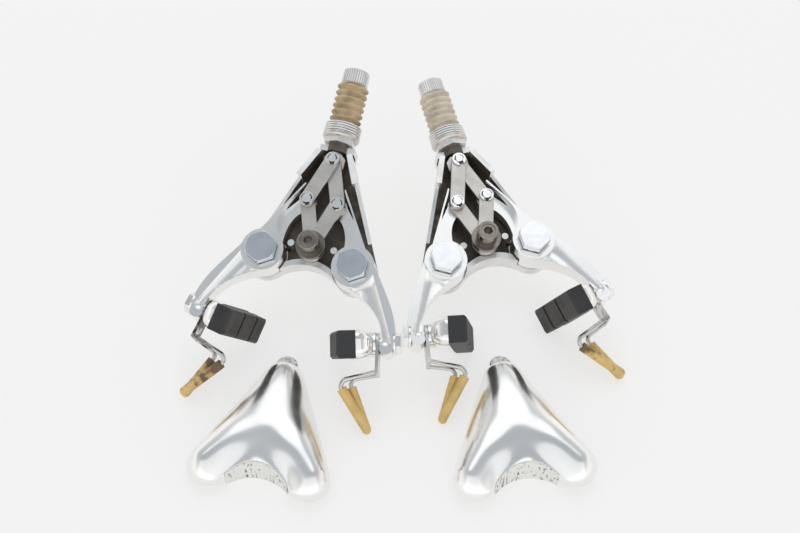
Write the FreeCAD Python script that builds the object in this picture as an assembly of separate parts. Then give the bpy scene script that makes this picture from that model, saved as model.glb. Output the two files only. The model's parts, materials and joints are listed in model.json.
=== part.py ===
import FreeCAD, Part
import math
import os

# A pair of centre-pull brake calipers of the triangular kind, with their covers taken off.
# Each caliper is drawn in its own frame: x to the right, y up to the cable, z to the front,
# z = 0 on the rear face of the body. The pair then lies on a table, +Z up, as it comes to rest.
# All lengths are in millimetres and all angles in degrees.

Vec = FreeCAD.Vector
AXIS_X = Vec(1, 0, 0)
AXIS_Y = Vec(0, 1, 0)
AXIS_Z = Vec(0, 0, 1)
ORIGIN = Vec(0, 0, 0)
SAME = 1e-6                 # lengths closer than this count as equal

# Clearances
HINGE_GAP = 0.05            # radial play of a pin, bolt or tube in its hole
RUN_GAP = 0.2               # axial play between pieces that turn on each other
SEAT_GAP = 0.1              # between clamped faces
OPEN_GAP = 0.35             # radial play at the two pivots where the linkage loop is left open
BODY_GAP = 0.5              # room between an arm and the fixed walls beside it
CUT_PAST = 1.0              # a cutting solid runs this far past the face it opens

# Linkage
PIVOT_HALF = 19.5           # arm pivot from the centre line
PIN_X = 6.6                 # link pin from the centre line, arms open
PIN_Y = 25.5                # link pin above the pivots
UPPER_LINK = 20.5           # hole to hole
LOWER_LINK = 21.0
TOP_Y = PIN_Y + math.sqrt(UPPER_LINK ** 2 - PIN_X ** 2)
ANCHOR_Y = PIN_Y - math.sqrt(LOWER_LINK ** 2 - PIN_X ** 2)
LINK_T = 2.0
LINK_HALF = 3.15            # half width of a link
LINK_EYE_R = 5.7            # eye of a lower link round the anchor
PIN_R = 1.9                 # link pin on the arm
TOP_PIN_R = 1.6
CLIP_R = 3.0
CLIP_T = 0.7
CLIP_MOUTH = 1.9            # width of a clip's opening
PIN_END = 0.6               # pin end in front of its clip
LINK_CLIP_DEG = 250.0       # where the clips open
TOP_CLIP_DEG = 280.0

# Body
BACK_T = 3.5                # back plate
BOSS_R = 9.2                # pivot boss of the body
BOSS_SEAT = 5.0             # front of that boss, where the arm turns
ARCH_TOP_Y = -1.5           # top of the arch over the tyre
ARCH_CORNER_DEG = 226.0     # where the arch meets the boss, round the pivot
ARCH_WALL_T = 2.6
ARCH_WALL_Z = 9.4
SHOULDER_X = 13.2           # outer foot of a tab
SHOULDER_Y = 35.6
CROWN_X = 7.6               # outer head of a tab
CROWN_Y = 48.6
APEX_Y = 52.6               # seat of the guide collar
BRIDGE_Y = 49.9             # lower face of the bridge under the collar
BRIDGE_Z = 9.0              # the bridge is a saddle, open to the front
WALL_T = 1.5
WALL_FOOT_Y = 14.0          # the side wall runs out here
WALL_Z = 11.0               # side wall height below its tab
WALL_LAP = 1.0              # the side wall runs this far into its tab
TAB_T = 2.3
TAB_FOOT_Z = 16.4
TAB_HEAD_Z = 14.6
POST_X = 9.3                # spring post
POST_Y = 6.3
POST_R = 1.45
POST_Z = 11.2
SPRING_RING_R = 6.2
SPRING_WIRE_R = 0.55
SPRING_GROOVE = 0.3         # room round the spring wire in its groove

# Arm
ARM_Z = BOSS_SEAT + RUN_GAP
ARM_FACE_Z = 14.6           # front of the flank and of the lower leg
ARM_BAND_Z = 9.8            # front of the recessed band under the links
ARM_BOSS_R = 9.0
ARM_BOSS_Z = 16.0
PIN_EYE_R = 3.7
HORN_X = 8.3                # tip of the flank beside the upper link
HORN_Y = 32.2
HORN_T = 0.5
FLANK_EDGE = ((13.2, 23.6), (15.9, 17.8), (16.4, 12.6))     # inner edge of the flank, from the horn down
FLANK_ROOT_DEG = 122.0      # where that edge meets the boss
BAND_EDGE = ((10.0, 18.4), (12.4, 13.2))                    # inner edge of the band, from the pin down
BAND_ROOT_DEG = 136.0
BAND_BACK = (18.0, 16.5)    # under the flank
BAND_EYE_DEG = 66.0         # where the band meets the eye of the link pin
LEG_OUTER = ((35.4, -8.4), (40.8, -18.0))                   # outer edge of the leg, from the boss down
LEG_INNER = ((36.0, -22.0), (27.8, -13.2))                  # inner edge, from the end up
LEG_OUTER_DEG = 14.0        # where these edges leave the boss
LEG_INNER_DEG = 252.0
STUD_X = 39.8               # pad stud through the end of the arm
STUD_Y = -28.0
STUD_TILT = 13.0            # the stud points inwards and down by this much
EYE_HALF = 2.9              # half the arm's thickness along the stud
EYE_END = 5.6               # end of the arm below the stud
STUD_Z = (ARM_Z + ARM_FACE_Z) / 2
FLUTE_HEAD = (24.2, -4.8)   # the flute is a hollow cone, wide at the boss
FLUTE_HEAD_R = 9.0
FLUTE_FOOT_R = 3.0
FLUTE_HEAD_DEPTH = 1.9
FLUTE_FOOT_DEPTH = 1.0

# Pivot bolt
PIVOT_R = 4.0
PIVOT_HEAD_AF = 12.0
PIVOT_HEAD_T = 3.4
PIVOT_COLLAR_R = 5.2
PIVOT_COLLAR_T = 0.7
HEX_CHAMFER = 0.6

# Cable anchor
ANCHOR_R = 3.6
ANCHOR_REAR_Z = 4.6
ANCHOR_FLANGE_R = 6.3
ANCHOR_FLANGE_T = 2.0
ANCHOR_HEAD_R = 4.4
ANCHOR_HEAD_T = 7.2
ANCHOR_RING_R = 3.0
ANCHOR_RING_DEPTH = 0.6
ANCHOR_THREAD_R = 2.0
ANCHOR_THREAD_L = 5.0
ANCHOR_CHAMFER = 0.5
SOCKET_AF = 3.5
SOCKET_DEPTH = 4.0
CABLE_HOLE_R = 0.9

# Cable adjuster, round an axis along y
BARREL_Z = 7.4              # height of that axis in front of the rear face
BARREL_R = 3.2
BARREL_BORE_R = 1.3
STEM_TOP_Y = 51.0           # top of the block's stem inside the collar
ADJUST_TRAVEL = 3.0         # the barrel moves this much either way
NECK_R = 4.4                # collar's neck in the bridge
COLLAR_HEX_AF = 13.0
COLLAR_HEX_T = 3.2
COLLAR_R = 8.0
COLLAR_T = 6.4
COLLAR_GROOVES = 3
COLLAR_GROOVE = 0.5         # depth and width of a groove
COLLAR_PITCH = 1.0
COLLAR_PLAIN = 2.9          # height of the plain band below the grooves
COLLAR_ROUND = 0.8
BELLOWS_L = 19.0
BELLOWS_RIDGE_R = 6.9
BELLOWS_VALLEY_R = 5.5
BELLOWS_BORE_R = 4.6
BELLOWS_FOLDS = 6
BELLOWS_CREST = 0.2         # share of a fold that is its flat crest
CAP_R = 5.8
CAP_T = 7.0
CAP_EDGE = 0.5
CAP_SOCKET_R = 2.6
CAP_SOCKET_L = 4.5
CAP_GRIP = 2.2              # length of barrel inside the cap
BLOCK_AF = 9.2              # eight-sided block on the top pin
BLOCK_REAR_Z = 4.2
BLOCK_STEM_R = 2.6
STEM_LAP = 1.0              # the stem starts this deep in the block

# Mounting bolt
MOUNT_Y = 8.0
MOUNT_R = 3.0
MOUNT_L = {"front": 26.2, "rear": 16.3}     # bolt behind the body, longer at the front
MOUNT_FLANGE_R = 6.5
MOUNT_FLANGE_T = 2.0
MOUNT_CHAMFER = 0.5

# Pad and its hardware, measured along the stud from the middle of the arm's end
STUD_R = 2.5
PLATE_T = 1.2               # wheel guide
PLATE_R = 4.6
HOLDER_L = 29.0
HOLDER_H = 12.0
HOLDER_BACK_H = 6.0
HOLDER_D = 10.2
HOLDER_WASHER_R = 5.2
HOLDER_WASHER_T = 2.4
HOLDER_BACK_L = 17.0
HOLDER_ROUND = 0.7          # rounding of its long corners, as a share of half its height
HOLDER_BULGE = 0.9          # share of its width that the holder has reached ...
HOLDER_BULGE_AT = 0.42      # ... at this share of its depth
PAD_L = 32.0
PAD_H = 11.2
PAD_D = 7.8
PAD_CHAMFER = 1.0
PAD_GROOVE_W = 1.0
PAD_GROOVE_D = 1.6
PAD_GROOVES = (-7.0, 4.0)   # places along the pad
PAD_TURN = 13.0             # the pad is turned about its stud, front end down
PAD_TOE = 12.0              # and its front end stands further from the rim
NUT_FLANGE_R = 4.9
NUT_FLANGE_T = 1.0
NUT_AF = 8.0
NUT_T = 2.1

# Wheel guide: a plate down from the stud, two prongs to the rim, then out and down to a tip
GUIDE_DROP = 12.5
GUIDE_W = 9.0
PRONG_R = 0.95
PRONG_BEND_R = 2.6          # round bend of a prong
PRONG_SPREAD = 6.6          # between the two prongs, along z
FRONT_BEND = (21.4, 15.3)   # inwards along the stud, and down from it
REAR_BEND = (14.5, 14.6)
TIP_IN = 9.0
TIP_DOWN = 34.2
TIP_Z = 3.6                 # of the rear prong, which the caliper lies on
TIP_SPREAD = 2.2            # between the two prongs at the tip
SLEEVE_R = 2.0
SLEEVE_START = 0.16         # share of the way from the bend to the tip

# Cover
COVER_HALF = 29.0
COVER_CORNER_R = 8.6
COVER_CORNER_Y = -0.6
COVER_CROWN_R = 8.4
COVER_CROWN_Y = 43.6
COVER_ARCH_Y = 0.4
COVER_WAIST = 0.8           # the long sides draw in by this much
COVER_DEPTH = 14.5
COVER_WALL = 1.7
COVER_CENTRE_Y = 14.0       # highest point of the cover
COVER_BALL_R = 85.0         # crown of the cover
COVER_ROUND = 7.0           # rounding of its edge
LIP_HALF = 12.6             # rough lip under the arch
LIP_T = 2.4
LIP_DEPTH = 4.2             # below the rim
LUG_R = 4.4
LUG_OUT = 4.0               # lug beyond the crown
LUG_TOP = 6.0               # above the rim

# Places on the table
CALIPER_PLACE = {"front": (-37.0, 0.0), "rear": (37.0, 8.2)}
TURN = {"front": -13.6, "rear": 16.5}
COVER_PLACE = {"front": (-56.0, -89.5), "rear": (49.6, -89.6)}
COVER_TURN = {"front": -10.5, "rear": 9.0}

# Levels that follow from the sizes above
SPRING_Z = BOSS_SEAT - RUN_GAP - SPRING_WIRE_R
REAR_LINK_Z = ARM_BAND_Z + RUN_GAP
FRONT_LINK_Z = REAR_LINK_Z + LINK_T + RUN_GAP
CLIP_Z = FRONT_LINK_Z + LINK_T + RUN_GAP
PIN_TOP_Z = CLIP_Z + CLIP_T + PIN_END
COLLAR_Y = APEX_Y + COLLAR_HEX_T
COLLAR_TOP_Y = COLLAR_Y + COLLAR_T
CAP_Y = COLLAR_TOP_Y + BELLOWS_L
HOLDER_S = EYE_HALF + PLATE_T + SEAT_GAP
DOME_S = HOLDER_S + HOLDER_WASHER_T
PAD_S = HOLDER_S + HOLDER_D
PAD_FACE_S = PAD_S + PAD_D


def flip(point):
    """The same point on the other side of the centre line."""
    return (-point[0], point[1])


def on_circle(centre, radius, degrees):
    """Point on a circle."""
    angle = math.radians(degrees)
    return (centre[0] + radius * math.cos(angle), centre[1] + radius * math.sin(angle))


def tangent_point(point, centre, radius, side):
    """Where a line from a point touches a circle, to the left (+1) or right (-1) of its centre."""
    dx = centre[0] - point[0]
    dy = centre[1] - point[1]
    far = math.hypot(dx, dy)
    heading = math.atan2(dy, dx) + side * math.asin(radius / far)
    run = math.sqrt(far ** 2 - radius ** 2)
    return (point[0] + run * math.cos(heading), point[1] + run * math.sin(heading))


def line(start, end):
    return Part.LineSegment(Vec(start[0], start[1], 0), Vec(end[0], end[1], 0)).toShape()


def arc(start, through, end):
    return Part.Arc(Vec(start[0], start[1], 0), Vec(through[0], through[1], 0),
                    Vec(end[0], end[1], 0)).toShape()


def curve(*points):
    """Smooth curve through a few points."""
    spline = Part.BSplineCurve()
    spline.interpolate([Vec(x, y, 0) for x, y in points])
    return spline.toShape()


def polygon(*points):
    """Edges of a closed polygon."""
    return [line(points[i - 1], points[i]) for i in range(len(points))]


def prism(edges, low, high):
    """Flat outline raised from one level to another."""
    face = Part.Face(Part.Wire(edges))
    solid = face.extrude(Vec(0, 0, high - low))
    solid.translate(Vec(0, 0, low))
    return solid


def disc(centre, radius, low, high):
    return Part.makeCylinder(radius, high - low, Vec(centre[0], centre[1], low))


def regular_polygon(across_flats, count=6):
    """Corners of a hexagon, or another regular polygon, given by its width across flats."""
    radius = across_flats / 2 / math.cos(math.pi / count)
    return [on_circle((0, 0), radius, 360.0 * (i + 0.5) / count) for i in range(count)]


def chamfered_hex(across_flats, height, chamfer):
    """Hexagon standing on z = 0 with its front corners turned off."""
    solid = prism(polygon(*regular_polygon(across_flats)), 0, height)
    corner_r = across_flats / 2 / math.cos(math.pi / 6)
    cone = Part.makeCone(corner_r + height - chamfer, corner_r - chamfer, height)
    return solid.common(cone)


def turned(profile):
    """Solid of revolution about the adjuster's axis, from (radius, y) corners."""
    points = [Vec(r, y, BARREL_Z) for r, y in profile]
    face = Part.Face(Part.makePolygon(points + points[:1]))
    return face.revolve(Vec(0, 0, BARREL_Z), AXIS_Y, 360)


def along_y(solid, y):
    """Turn a solid made along z so that it runs along the adjuster's axis from y."""
    solid.rotate(ORIGIN, AXIS_X, -90)
    solid.translate(Vec(0, y, BARREL_Z))
    return solid


def fuse(first, *others):
    return first.multiFuse(list(others)).removeSplitter()


def mirrored(solid):
    return solid.mirror(ORIGIN, AXIS_X)


# Body

def wall(foot, head, foot_z, head_z, thickness):
    """Plate standing on the body's outline, its thickness inwards."""
    corners = [Vec(foot[0], foot[1], 0), Vec(head[0], head[1], 0)]
    corners += [Vec(head[0], head[1], head_z), Vec(foot[0], foot[1], foot_z)]
    face = Part.Face(Part.makePolygon(corners + corners[:1]))
    inward = Vec(foot[1] - head[1], head[0] - foot[0], 0).normalize()
    return face.extrude(inward * thickness)


def body():
    pivot = (PIVOT_HALF, 0)
    corner = on_circle(pivot, BOSS_R, ARCH_CORNER_DEG)
    low = on_circle(pivot, BOSS_R, -60)
    shoulder = (SHOULDER_X, SHOULDER_Y)
    touch = tangent_point(shoulder, pivot, BOSS_R, 1)
    crown = (CROWN_X, CROWN_Y)
    apex = (CROWN_X, APEX_Y)
    arch = (0, ARCH_TOP_Y)
    right = [arc(corner, low, touch), line(touch, shoulder), line(shoulder, crown), line(crown, apex)]
    left = [line(flip(apex), flip(crown)), line(flip(crown), flip(shoulder)),
            line(flip(shoulder), flip(touch)), arc(flip(touch), flip(low), flip(corner))]
    plate = prism([arc(flip(corner), arch, corner)] + right + [line(apex, flip(apex))] + left, 0, BACK_T)

    rise = Vec(0, ARCH_WALL_T, 0)
    upper = (corner[0], corner[1] + rise.y)
    arch_wall = prism([arc(flip(corner), arch, corner), line(corner, upper),
                       arc(upper, (0, ARCH_TOP_Y + rise.y), flip(upper)),
                       line(flip(upper), flip(corner))],
                      0, ARCH_WALL_Z)
    bridge = Part.makeBox(2 * CROWN_X, APEX_Y - BRIDGE_Y, BRIDGE_Z, Vec(-CROWN_X, BRIDGE_Y, 0))

    share = (WALL_FOOT_Y - touch[1]) / (shoulder[1] - touch[1])
    wall_foot = (touch[0] + share * (shoulder[0] - touch[0]), WALL_FOOT_Y)
    share = (SHOULDER_Y + WALL_LAP - touch[1]) / (shoulder[1] - touch[1])
    wall_head = (touch[0] + share * (shoulder[0] - touch[0]), SHOULDER_Y + WALL_LAP)
    extras = [bridge]
    for side in (wall(wall_foot, wall_head, BOSS_SEAT, WALL_Z, WALL_T),
              wall(shoulder, crown, TAB_FOOT_Z, TAB_HEAD_Z, TAB_T),
              disc(pivot, BOSS_R, 0, BOSS_SEAT),
              disc((POST_X, POST_Y), POST_R, 0, POST_Z)):
        extras += [side, mirrored(side)]
    clear_r = ARM_BOSS_R + BODY_GAP
    for x in (PIVOT_HALF, -PIVOT_HALF):
        arch_wall = arch_wall.cut(disc((x, 0), clear_r, BOSS_SEAT, ARCH_WALL_Z))
    solid = fuse(plate, arch_wall, *extras)

    groove = SPRING_WIRE_R + SPRING_GROOVE
    for x in (PIVOT_HALF, -PIVOT_HALF):
        ring = disc((x, 0), SPRING_RING_R + groove, SPRING_Z - groove, BOSS_SEAT)
        ring = ring.cut(disc((x, 0), SPRING_RING_R - groove, SPRING_Z - groove, BOSS_SEAT))
        slot = Part.makeBox(BOSS_R - SPRING_RING_R + CUT_PAST, 2 * groove,
                            BOSS_SEAT - SPRING_Z + groove,
                            Vec(SPRING_RING_R, -groove, SPRING_Z - groove))
        slot.rotate(ORIGIN, AXIS_Z, spring_leg_angle(x))
        slot.translate(Vec(x, 0, 0))
        solid = solid.cut(fuse(ring, slot))
        solid = solid.cut(disc((x, 0), PIVOT_R + HINGE_GAP, 0, BOSS_SEAT))
    solid = solid.cut(disc((0, MOUNT_Y), MOUNT_R + HINGE_GAP, 0, BACK_T))
    neck_hole = Part.makeCylinder(NECK_R + HINGE_GAP, APEX_Y - BRIDGE_Y)
    return solid.cut(along_y(neck_hole, BRIDGE_Y))


def spring_leg_angle(pivot_x):
    """Direction from a pivot to the post that holds its spring."""
    post_x = math.copysign(POST_X, pivot_x)
    return math.degrees(math.atan2(POST_Y, post_x - pivot_x))


def return_spring(pivot_x):
    """One turn of wire in the boss, with a leg out to its post."""
    ring = Part.makeTorus(SPRING_RING_R, SPRING_WIRE_R)
    reach = math.hypot(PIVOT_HALF - POST_X, POST_Y) - POST_R - HINGE_GAP
    leg = Part.makeCylinder(SPRING_WIRE_R * 0.9, reach - SPRING_RING_R, Vec(SPRING_RING_R, 0, 0), AXIS_X)
    spring = fuse(ring, leg)
    spring.rotate(ORIGIN, AXIS_Z, spring_leg_angle(pivot_x))
    spring.translate(Vec(pivot_x, 0, SPRING_Z))
    return spring


def pivot_bolt(pivot_x):
    seat = ARM_BOSS_Z + RUN_GAP
    head = chamfered_hex(PIVOT_HEAD_AF, PIVOT_HEAD_T, HEX_CHAMFER)
    head.translate(Vec(0, 0, seat + PIVOT_COLLAR_T))
    bolt = fuse(head, disc((0, 0), PIVOT_COLLAR_R, seat, seat + PIVOT_COLLAR_T),
                disc((0, 0), PIVOT_R, 0, seat))
    bolt.translate(Vec(pivot_x, 0, 0))
    return bolt


def mounting_bolt(length):
    thread = disc((0, MOUNT_Y), MOUNT_R, -length, BACK_T - RUN_GAP)
    end = [e for e in thread.Edges if abs(e.CenterOfMass.z + length) < SAME]
    thread = thread.makeChamfer(MOUNT_CHAMFER, end)
    return fuse(thread, disc((0, MOUNT_Y), MOUNT_FLANGE_R, -MOUNT_FLANGE_T, 0))


# Arm, drawn on the right and mirrored for the left

def stud_point(inwards, down):
    """Point in the plane of the arm, measured along the stud from its middle."""
    tilt = math.radians(STUD_TILT)
    x = STUD_X - inwards * math.cos(tilt) + down * math.sin(tilt)
    y = STUD_Y - inwards * math.sin(tilt) - down * math.cos(tilt)
    return (x, y)


def lower_leg():
    """Curved leg from the boss down to the stud, with a tapering flute in its front."""
    outer_end = stud_point(-EYE_HALF, EYE_END / 2)
    inner_end = stud_point(EYE_HALF, EYE_END / 2)
    hip = on_circle((PIVOT_HALF, 0), ARM_BOSS_R, LEG_OUTER_DEG)
    crotch = on_circle((PIVOT_HALF, 0), ARM_BOSS_R, LEG_INNER_DEG)
    outer = curve(hip, *LEG_OUTER, outer_end)
    inner = curve(inner_end, *LEG_INNER, crotch)
    tip = arc(outer_end, stud_point(0, EYE_END), inner_end)
    leg = prism([outer, tip, inner, line(crotch, (PIVOT_HALF, 0)), line((PIVOT_HALF, 0), hip)],
                ARM_Z, ARM_FACE_Z)
    head = Vec(FLUTE_HEAD[0], FLUTE_HEAD[1], ARM_FACE_Z + FLUTE_HEAD_R - FLUTE_HEAD_DEPTH)
    foot_x, foot_y = stud_point(0, 0)
    foot = Vec(foot_x, foot_y, ARM_FACE_Z + FLUTE_FOOT_R - FLUTE_FOOT_DEPTH)
    run = foot - head
    flute = Part.makeCone(FLUTE_HEAD_R, FLUTE_FOOT_R, run.Length, head, run)
    return leg.cut(flute).cut(Part.makeSphere(FLUTE_FOOT_R, foot))


def upper_lever():
    """Raised flank with a pointed horn, and the recessed band that carries the link pin."""
    pivot = (PIVOT_HALF, 0)
    horn = (HORN_X, HORN_Y)
    horn_back = (HORN_X + HORN_T, HORN_Y + HORN_T / 2)
    touch = tangent_point(horn_back, pivot, BOSS_R - WALL_T - BODY_GAP, 1)
    root = on_circle(pivot, ARM_BOSS_R, FLANK_ROOT_DEG)
    flank = prism([line(pivot, touch), line(touch, horn_back), line(horn_back, horn),
                   curve(horn, *FLANK_EDGE, root), line(root, pivot)],
                  ARM_Z, ARM_FACE_Z)
    low = on_circle((PIN_X, PIN_Y), PIN_EYE_R, BAND_EYE_DEG + 180)
    high = on_circle((PIN_X, PIN_Y), PIN_EYE_R, BAND_EYE_DEG)
    base = on_circle(pivot, ARM_BOSS_R, BAND_ROOT_DEG)
    band = prism([curve(low, *BAND_EDGE, base), line(base, pivot), line(pivot, BAND_BACK),
                  line(BAND_BACK, high), line(high, low)], ARM_Z, ARM_BAND_Z)
    eye = disc((PIN_X, PIN_Y), PIN_EYE_R, ARM_Z, ARM_BAND_Z)
    return fuse(flank, band, eye)


def arm():
    boss = disc((PIVOT_HALF, 0), ARM_BOSS_R, ARM_Z, ARM_BOSS_Z)
    solid = fuse(boss, lower_leg(), upper_lever())
    solid = solid.cut(disc((PIVOT_HALF, 0), PIVOT_R + HINGE_GAP, ARM_Z, ARM_BOSS_Z))
    solid = solid.cut(disc((PIN_X, PIN_Y), PIN_R + HINGE_GAP, ARM_Z, ARM_BAND_Z))
    cuts = [along_stud(STUD_R + HINGE_GAP, -2 * EYE_HALF, 2 * EYE_HALF),
            along_stud(NUT_FLANGE_R + BODY_GAP, -2 * EYE_HALF, -EYE_HALF),
            along_stud(PLATE_R + BODY_GAP, EYE_HALF, 2 * EYE_HALF)]
    for cut in cuts:
        solid = solid.cut(mirrored(at_left_stud(cut)))
    return solid


def clip(centre, pin_r, mouth_angle):
    """Open retaining ring on the end of a pin."""
    ring = disc((0, 0), CLIP_R, CLIP_Z, CLIP_Z + CLIP_T)
    ring = ring.cut(disc((0, 0), pin_r + HINGE_GAP, CLIP_Z, CLIP_Z + CLIP_T))
    ring = ring.cut(Part.makeBox(CLIP_R + CUT_PAST, CLIP_MOUTH, CLIP_T,
                                 Vec(0, -CLIP_MOUTH / 2, CLIP_Z)))
    ring.rotate(ORIGIN, AXIS_Z, mouth_angle)
    ring.translate(Vec(centre[0], centre[1], 0))
    return ring


def link_pin():
    """Pin through the arm's band and both links, with its clip."""
    pin = disc((PIN_X, PIN_Y), PIN_R, ARM_Z, PIN_TOP_Z)
    return Part.makeCompound([pin, clip((PIN_X, PIN_Y), PIN_R, LINK_CLIP_DEG)])


# Links and anchor

def link(start, end, level, start_hole, end_hole, eye_r):
    """Flat bar with round ends between two holes; the eye at its end may be larger."""
    dx = end[0] - start[0]
    dy = end[1] - start[1]
    length = math.hypot(dx, dy)
    across = (-dy / length * LINK_HALF, dx / length * LINK_HALF)
    corners = ((start, 1), (start, -1), (end, -1), (end, 1))
    sides = [(p[0] + s * across[0], p[1] + s * across[1]) for p, s in corners]
    bar = prism(polygon(*sides), level, level + LINK_T)
    front = level + LINK_T
    solid = fuse(bar, disc(start, LINK_HALF, level, front), disc(end, eye_r, level, front))
    return solid.cut(disc(start, start_hole, level, front)).cut(disc(end, end_hole, level, front))


def upper_link(side, level):
    pin = (side * PIN_X, PIN_Y)
    return link((0, TOP_Y), pin, level, TOP_PIN_R + HINGE_GAP, PIN_R + OPEN_GAP, LINK_HALF)


def lower_link(side, level):
    pin = (side * PIN_X, PIN_Y)
    return link(pin, (0, ANCHOR_Y), level, PIN_R + HINGE_GAP, ANCHOR_R + OPEN_GAP, LINK_EYE_R)


def top_pin():
    """Pin through the block and both upper links, with its clip."""
    pin = disc((0, TOP_Y), TOP_PIN_R, BLOCK_REAR_Z, PIN_TOP_Z)
    return [pin, clip((0, TOP_Y), TOP_PIN_R, TOP_CLIP_DEG)]


def top_block():
    """Eight-sided block on the foot of the barrel, bored for the top pin."""
    front = ARM_BAND_Z
    solid = prism(polygon(*regular_polygon(BLOCK_AF, 8)), BLOCK_REAR_Z, front)
    solid.translate(Vec(0, TOP_Y, 0))
    stem_foot = TOP_Y + BLOCK_AF / 2 - STEM_LAP
    stem = along_y(Part.makeCylinder(BLOCK_STEM_R, STEM_TOP_Y - stem_foot), stem_foot)
    solid = fuse(solid, stem)
    return solid.cut(disc((0, TOP_Y), TOP_PIN_R + HINGE_GAP, BLOCK_REAR_Z, front))


def anchor_pin():
    """Stem through both lower links, cross-bored for the cable."""
    front = CLIP_Z
    stem = disc((0, ANCHOR_Y), ANCHOR_R, ANCHOR_REAR_Z, front)
    thread = disc((0, ANCHOR_Y), ANCHOR_THREAD_R + HINGE_GAP, front - ANCHOR_THREAD_L - RUN_GAP, front)
    cable = along_y(Part.makeCylinder(CABLE_HOLE_R, 4 * ANCHOR_R), ANCHOR_Y - 2 * ANCHOR_R)
    return stem.cut(thread).cut(cable)


def anchor_bolt():
    """Flanged bolt with a stepped head and a hexagon socket."""
    seat = CLIP_Z
    base = seat + ANCHOR_FLANGE_T
    face = base + ANCHOR_HEAD_T
    head = disc((0, 0), ANCHOR_HEAD_R, base, face)
    rim = [edge for edge in head.Edges if abs(edge.CenterOfMass.z - face) < SAME]
    head = head.makeChamfer(ANCHOR_CHAMFER, rim)
    solid = fuse(head, disc((0, 0), ANCHOR_FLANGE_R, seat, base),
                 disc((0, 0), ANCHOR_THREAD_R, seat - ANCHOR_THREAD_L, seat))
    solid = solid.cut(disc((0, 0), ANCHOR_RING_R, face - ANCHOR_RING_DEPTH, face))
    socket = prism(polygon(*regular_polygon(SOCKET_AF)), face - SOCKET_DEPTH, face)
    solid = solid.cut(socket)
    solid.translate(Vec(0, ANCHOR_Y, 0))
    return solid


# Cable adjuster

def guide_collar():
    """Turned collar with ring grooves, a hexagon under it and a neck in the body's bridge."""
    side = [(COLLAR_R - COLLAR_ROUND, COLLAR_Y), (COLLAR_R, COLLAR_Y + COLLAR_ROUND)]
    for i in range(COLLAR_GROOVES):
        low = COLLAR_Y + COLLAR_PLAIN + i * COLLAR_PITCH
        high = low + COLLAR_GROOVE
        inner = COLLAR_R - COLLAR_GROOVE
        side += [(COLLAR_R, low), (inner, low), (inner, high), (COLLAR_R, high)]
    bore = BARREL_R + HINGE_GAP
    profile = [(bore, BRIDGE_Y), (NECK_R, BRIDGE_Y), (NECK_R, COLLAR_Y)] + side
    profile += [(COLLAR_R, COLLAR_TOP_Y - COLLAR_ROUND), (COLLAR_R - COLLAR_ROUND, COLLAR_TOP_Y),
                (bore, COLLAR_TOP_Y)]
    nut = along_y(prism(polygon(*regular_polygon(COLLAR_HEX_AF)), 0, COLLAR_HEX_T), APEX_Y)
    nut = nut.cut(along_y(Part.makeCylinder(bore, COLLAR_HEX_T), APEX_Y))
    return fuse(turned(profile), nut)


def bellows():
    """Rubber gaiter of even folds between collar and cap."""
    start = COLLAR_TOP_Y
    pitch = (BELLOWS_L - RUN_GAP) / BELLOWS_FOLDS
    profile = [(BELLOWS_BORE_R, start)]
    for i in range(BELLOWS_FOLDS):
        low = start + i * pitch
        profile += [(BELLOWS_VALLEY_R, low), (BELLOWS_RIDGE_R, low + pitch * (1 - BELLOWS_CREST) / 2),
                    (BELLOWS_RIDGE_R, low + pitch * (1 + BELLOWS_CREST) / 2)]
    end = start + BELLOWS_L - RUN_GAP
    profile += [(BELLOWS_VALLEY_R, end), (BELLOWS_BORE_R, end)]
    return turned(profile)


def adjuster_barrel():
    """Tube through the collar, with the cable's bore."""
    top = CAP_Y + CAP_GRIP
    foot = STEM_TOP_Y + ADJUST_TRAVEL + RUN_GAP
    return turned([(BARREL_BORE_R, foot), (BARREL_R, foot), (BARREL_R, top), (BARREL_BORE_R, top)])


def adjuster_cap():
    """Finger nut on the barrel, with a socket for the end of the cable housing."""
    top = CAP_Y + CAP_T
    grip = CAP_Y + CAP_GRIP + RUN_GAP
    bore = BARREL_R + HINGE_GAP
    floor = top - CAP_SOCKET_L
    outside = [(CAP_R - CAP_EDGE, CAP_Y), (CAP_R, CAP_Y + CAP_EDGE),
               (CAP_R, top - CAP_EDGE), (CAP_R - CAP_EDGE, top)]
    inside = [(CAP_SOCKET_R, top), (CAP_SOCKET_R, floor), (BARREL_BORE_R, floor),
              (BARREL_BORE_R, grip), (bore, grip)]
    return turned([(bore, CAP_Y)] + outside + inside)


# Pad hardware, drawn on the left arm with x along its stud, y up and z to the front

def at_left_stud(solid):
    """Move hardware from the stud's own frame to the left arm."""
    solid.rotate(ORIGIN, AXIS_Z, -STUD_TILT)
    solid.translate(Vec(-STUD_X, STUD_Y, STUD_Z))
    return solid


def along_stud(radius, start, end):
    return Part.makeCylinder(radius, end - start, Vec(start, 0, 0), AXIS_X)


def toed(solid):
    """Turn a pad or its holder about the stud, then toe it in about its seat."""
    solid.rotate(Vec(DOME_S, 0, 0), AXIS_Y, -PAD_TOE)
    solid.rotate(ORIGIN, AXIS_X, PAD_TURN)
    return solid


def holder_section(s, half_height, half_length):
    """Rounded rectangle across the holder at the place s along the stud."""
    radius = half_height * HOLDER_ROUND
    y = half_height - radius
    z = half_length - radius
    slant = radius * math.sqrt(0.5)
    edges = []
    for side_y, side_z in ((1, 1), (-1, 1), (-1, -1), (1, -1)):
        start = Vec(s, side_y * half_height, side_z * z)
        end = Vec(s, side_y * y, side_z * half_length)
        middle = Vec(s, side_y * (y + slant), side_z * (z + slant))
        if side_y * side_z < 0:
            start, end = end, start
        if edges:
            edges.append(Part.makeLine(edges[-1].Vertexes[-1].Point, start))
        edges.append(Part.Arc(start, middle, end).toShape())
    edges.append(Part.makeLine(edges[-1].Vertexes[-1].Point, edges[0].Vertexes[0].Point))
    return Part.Wire(edges)


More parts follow.
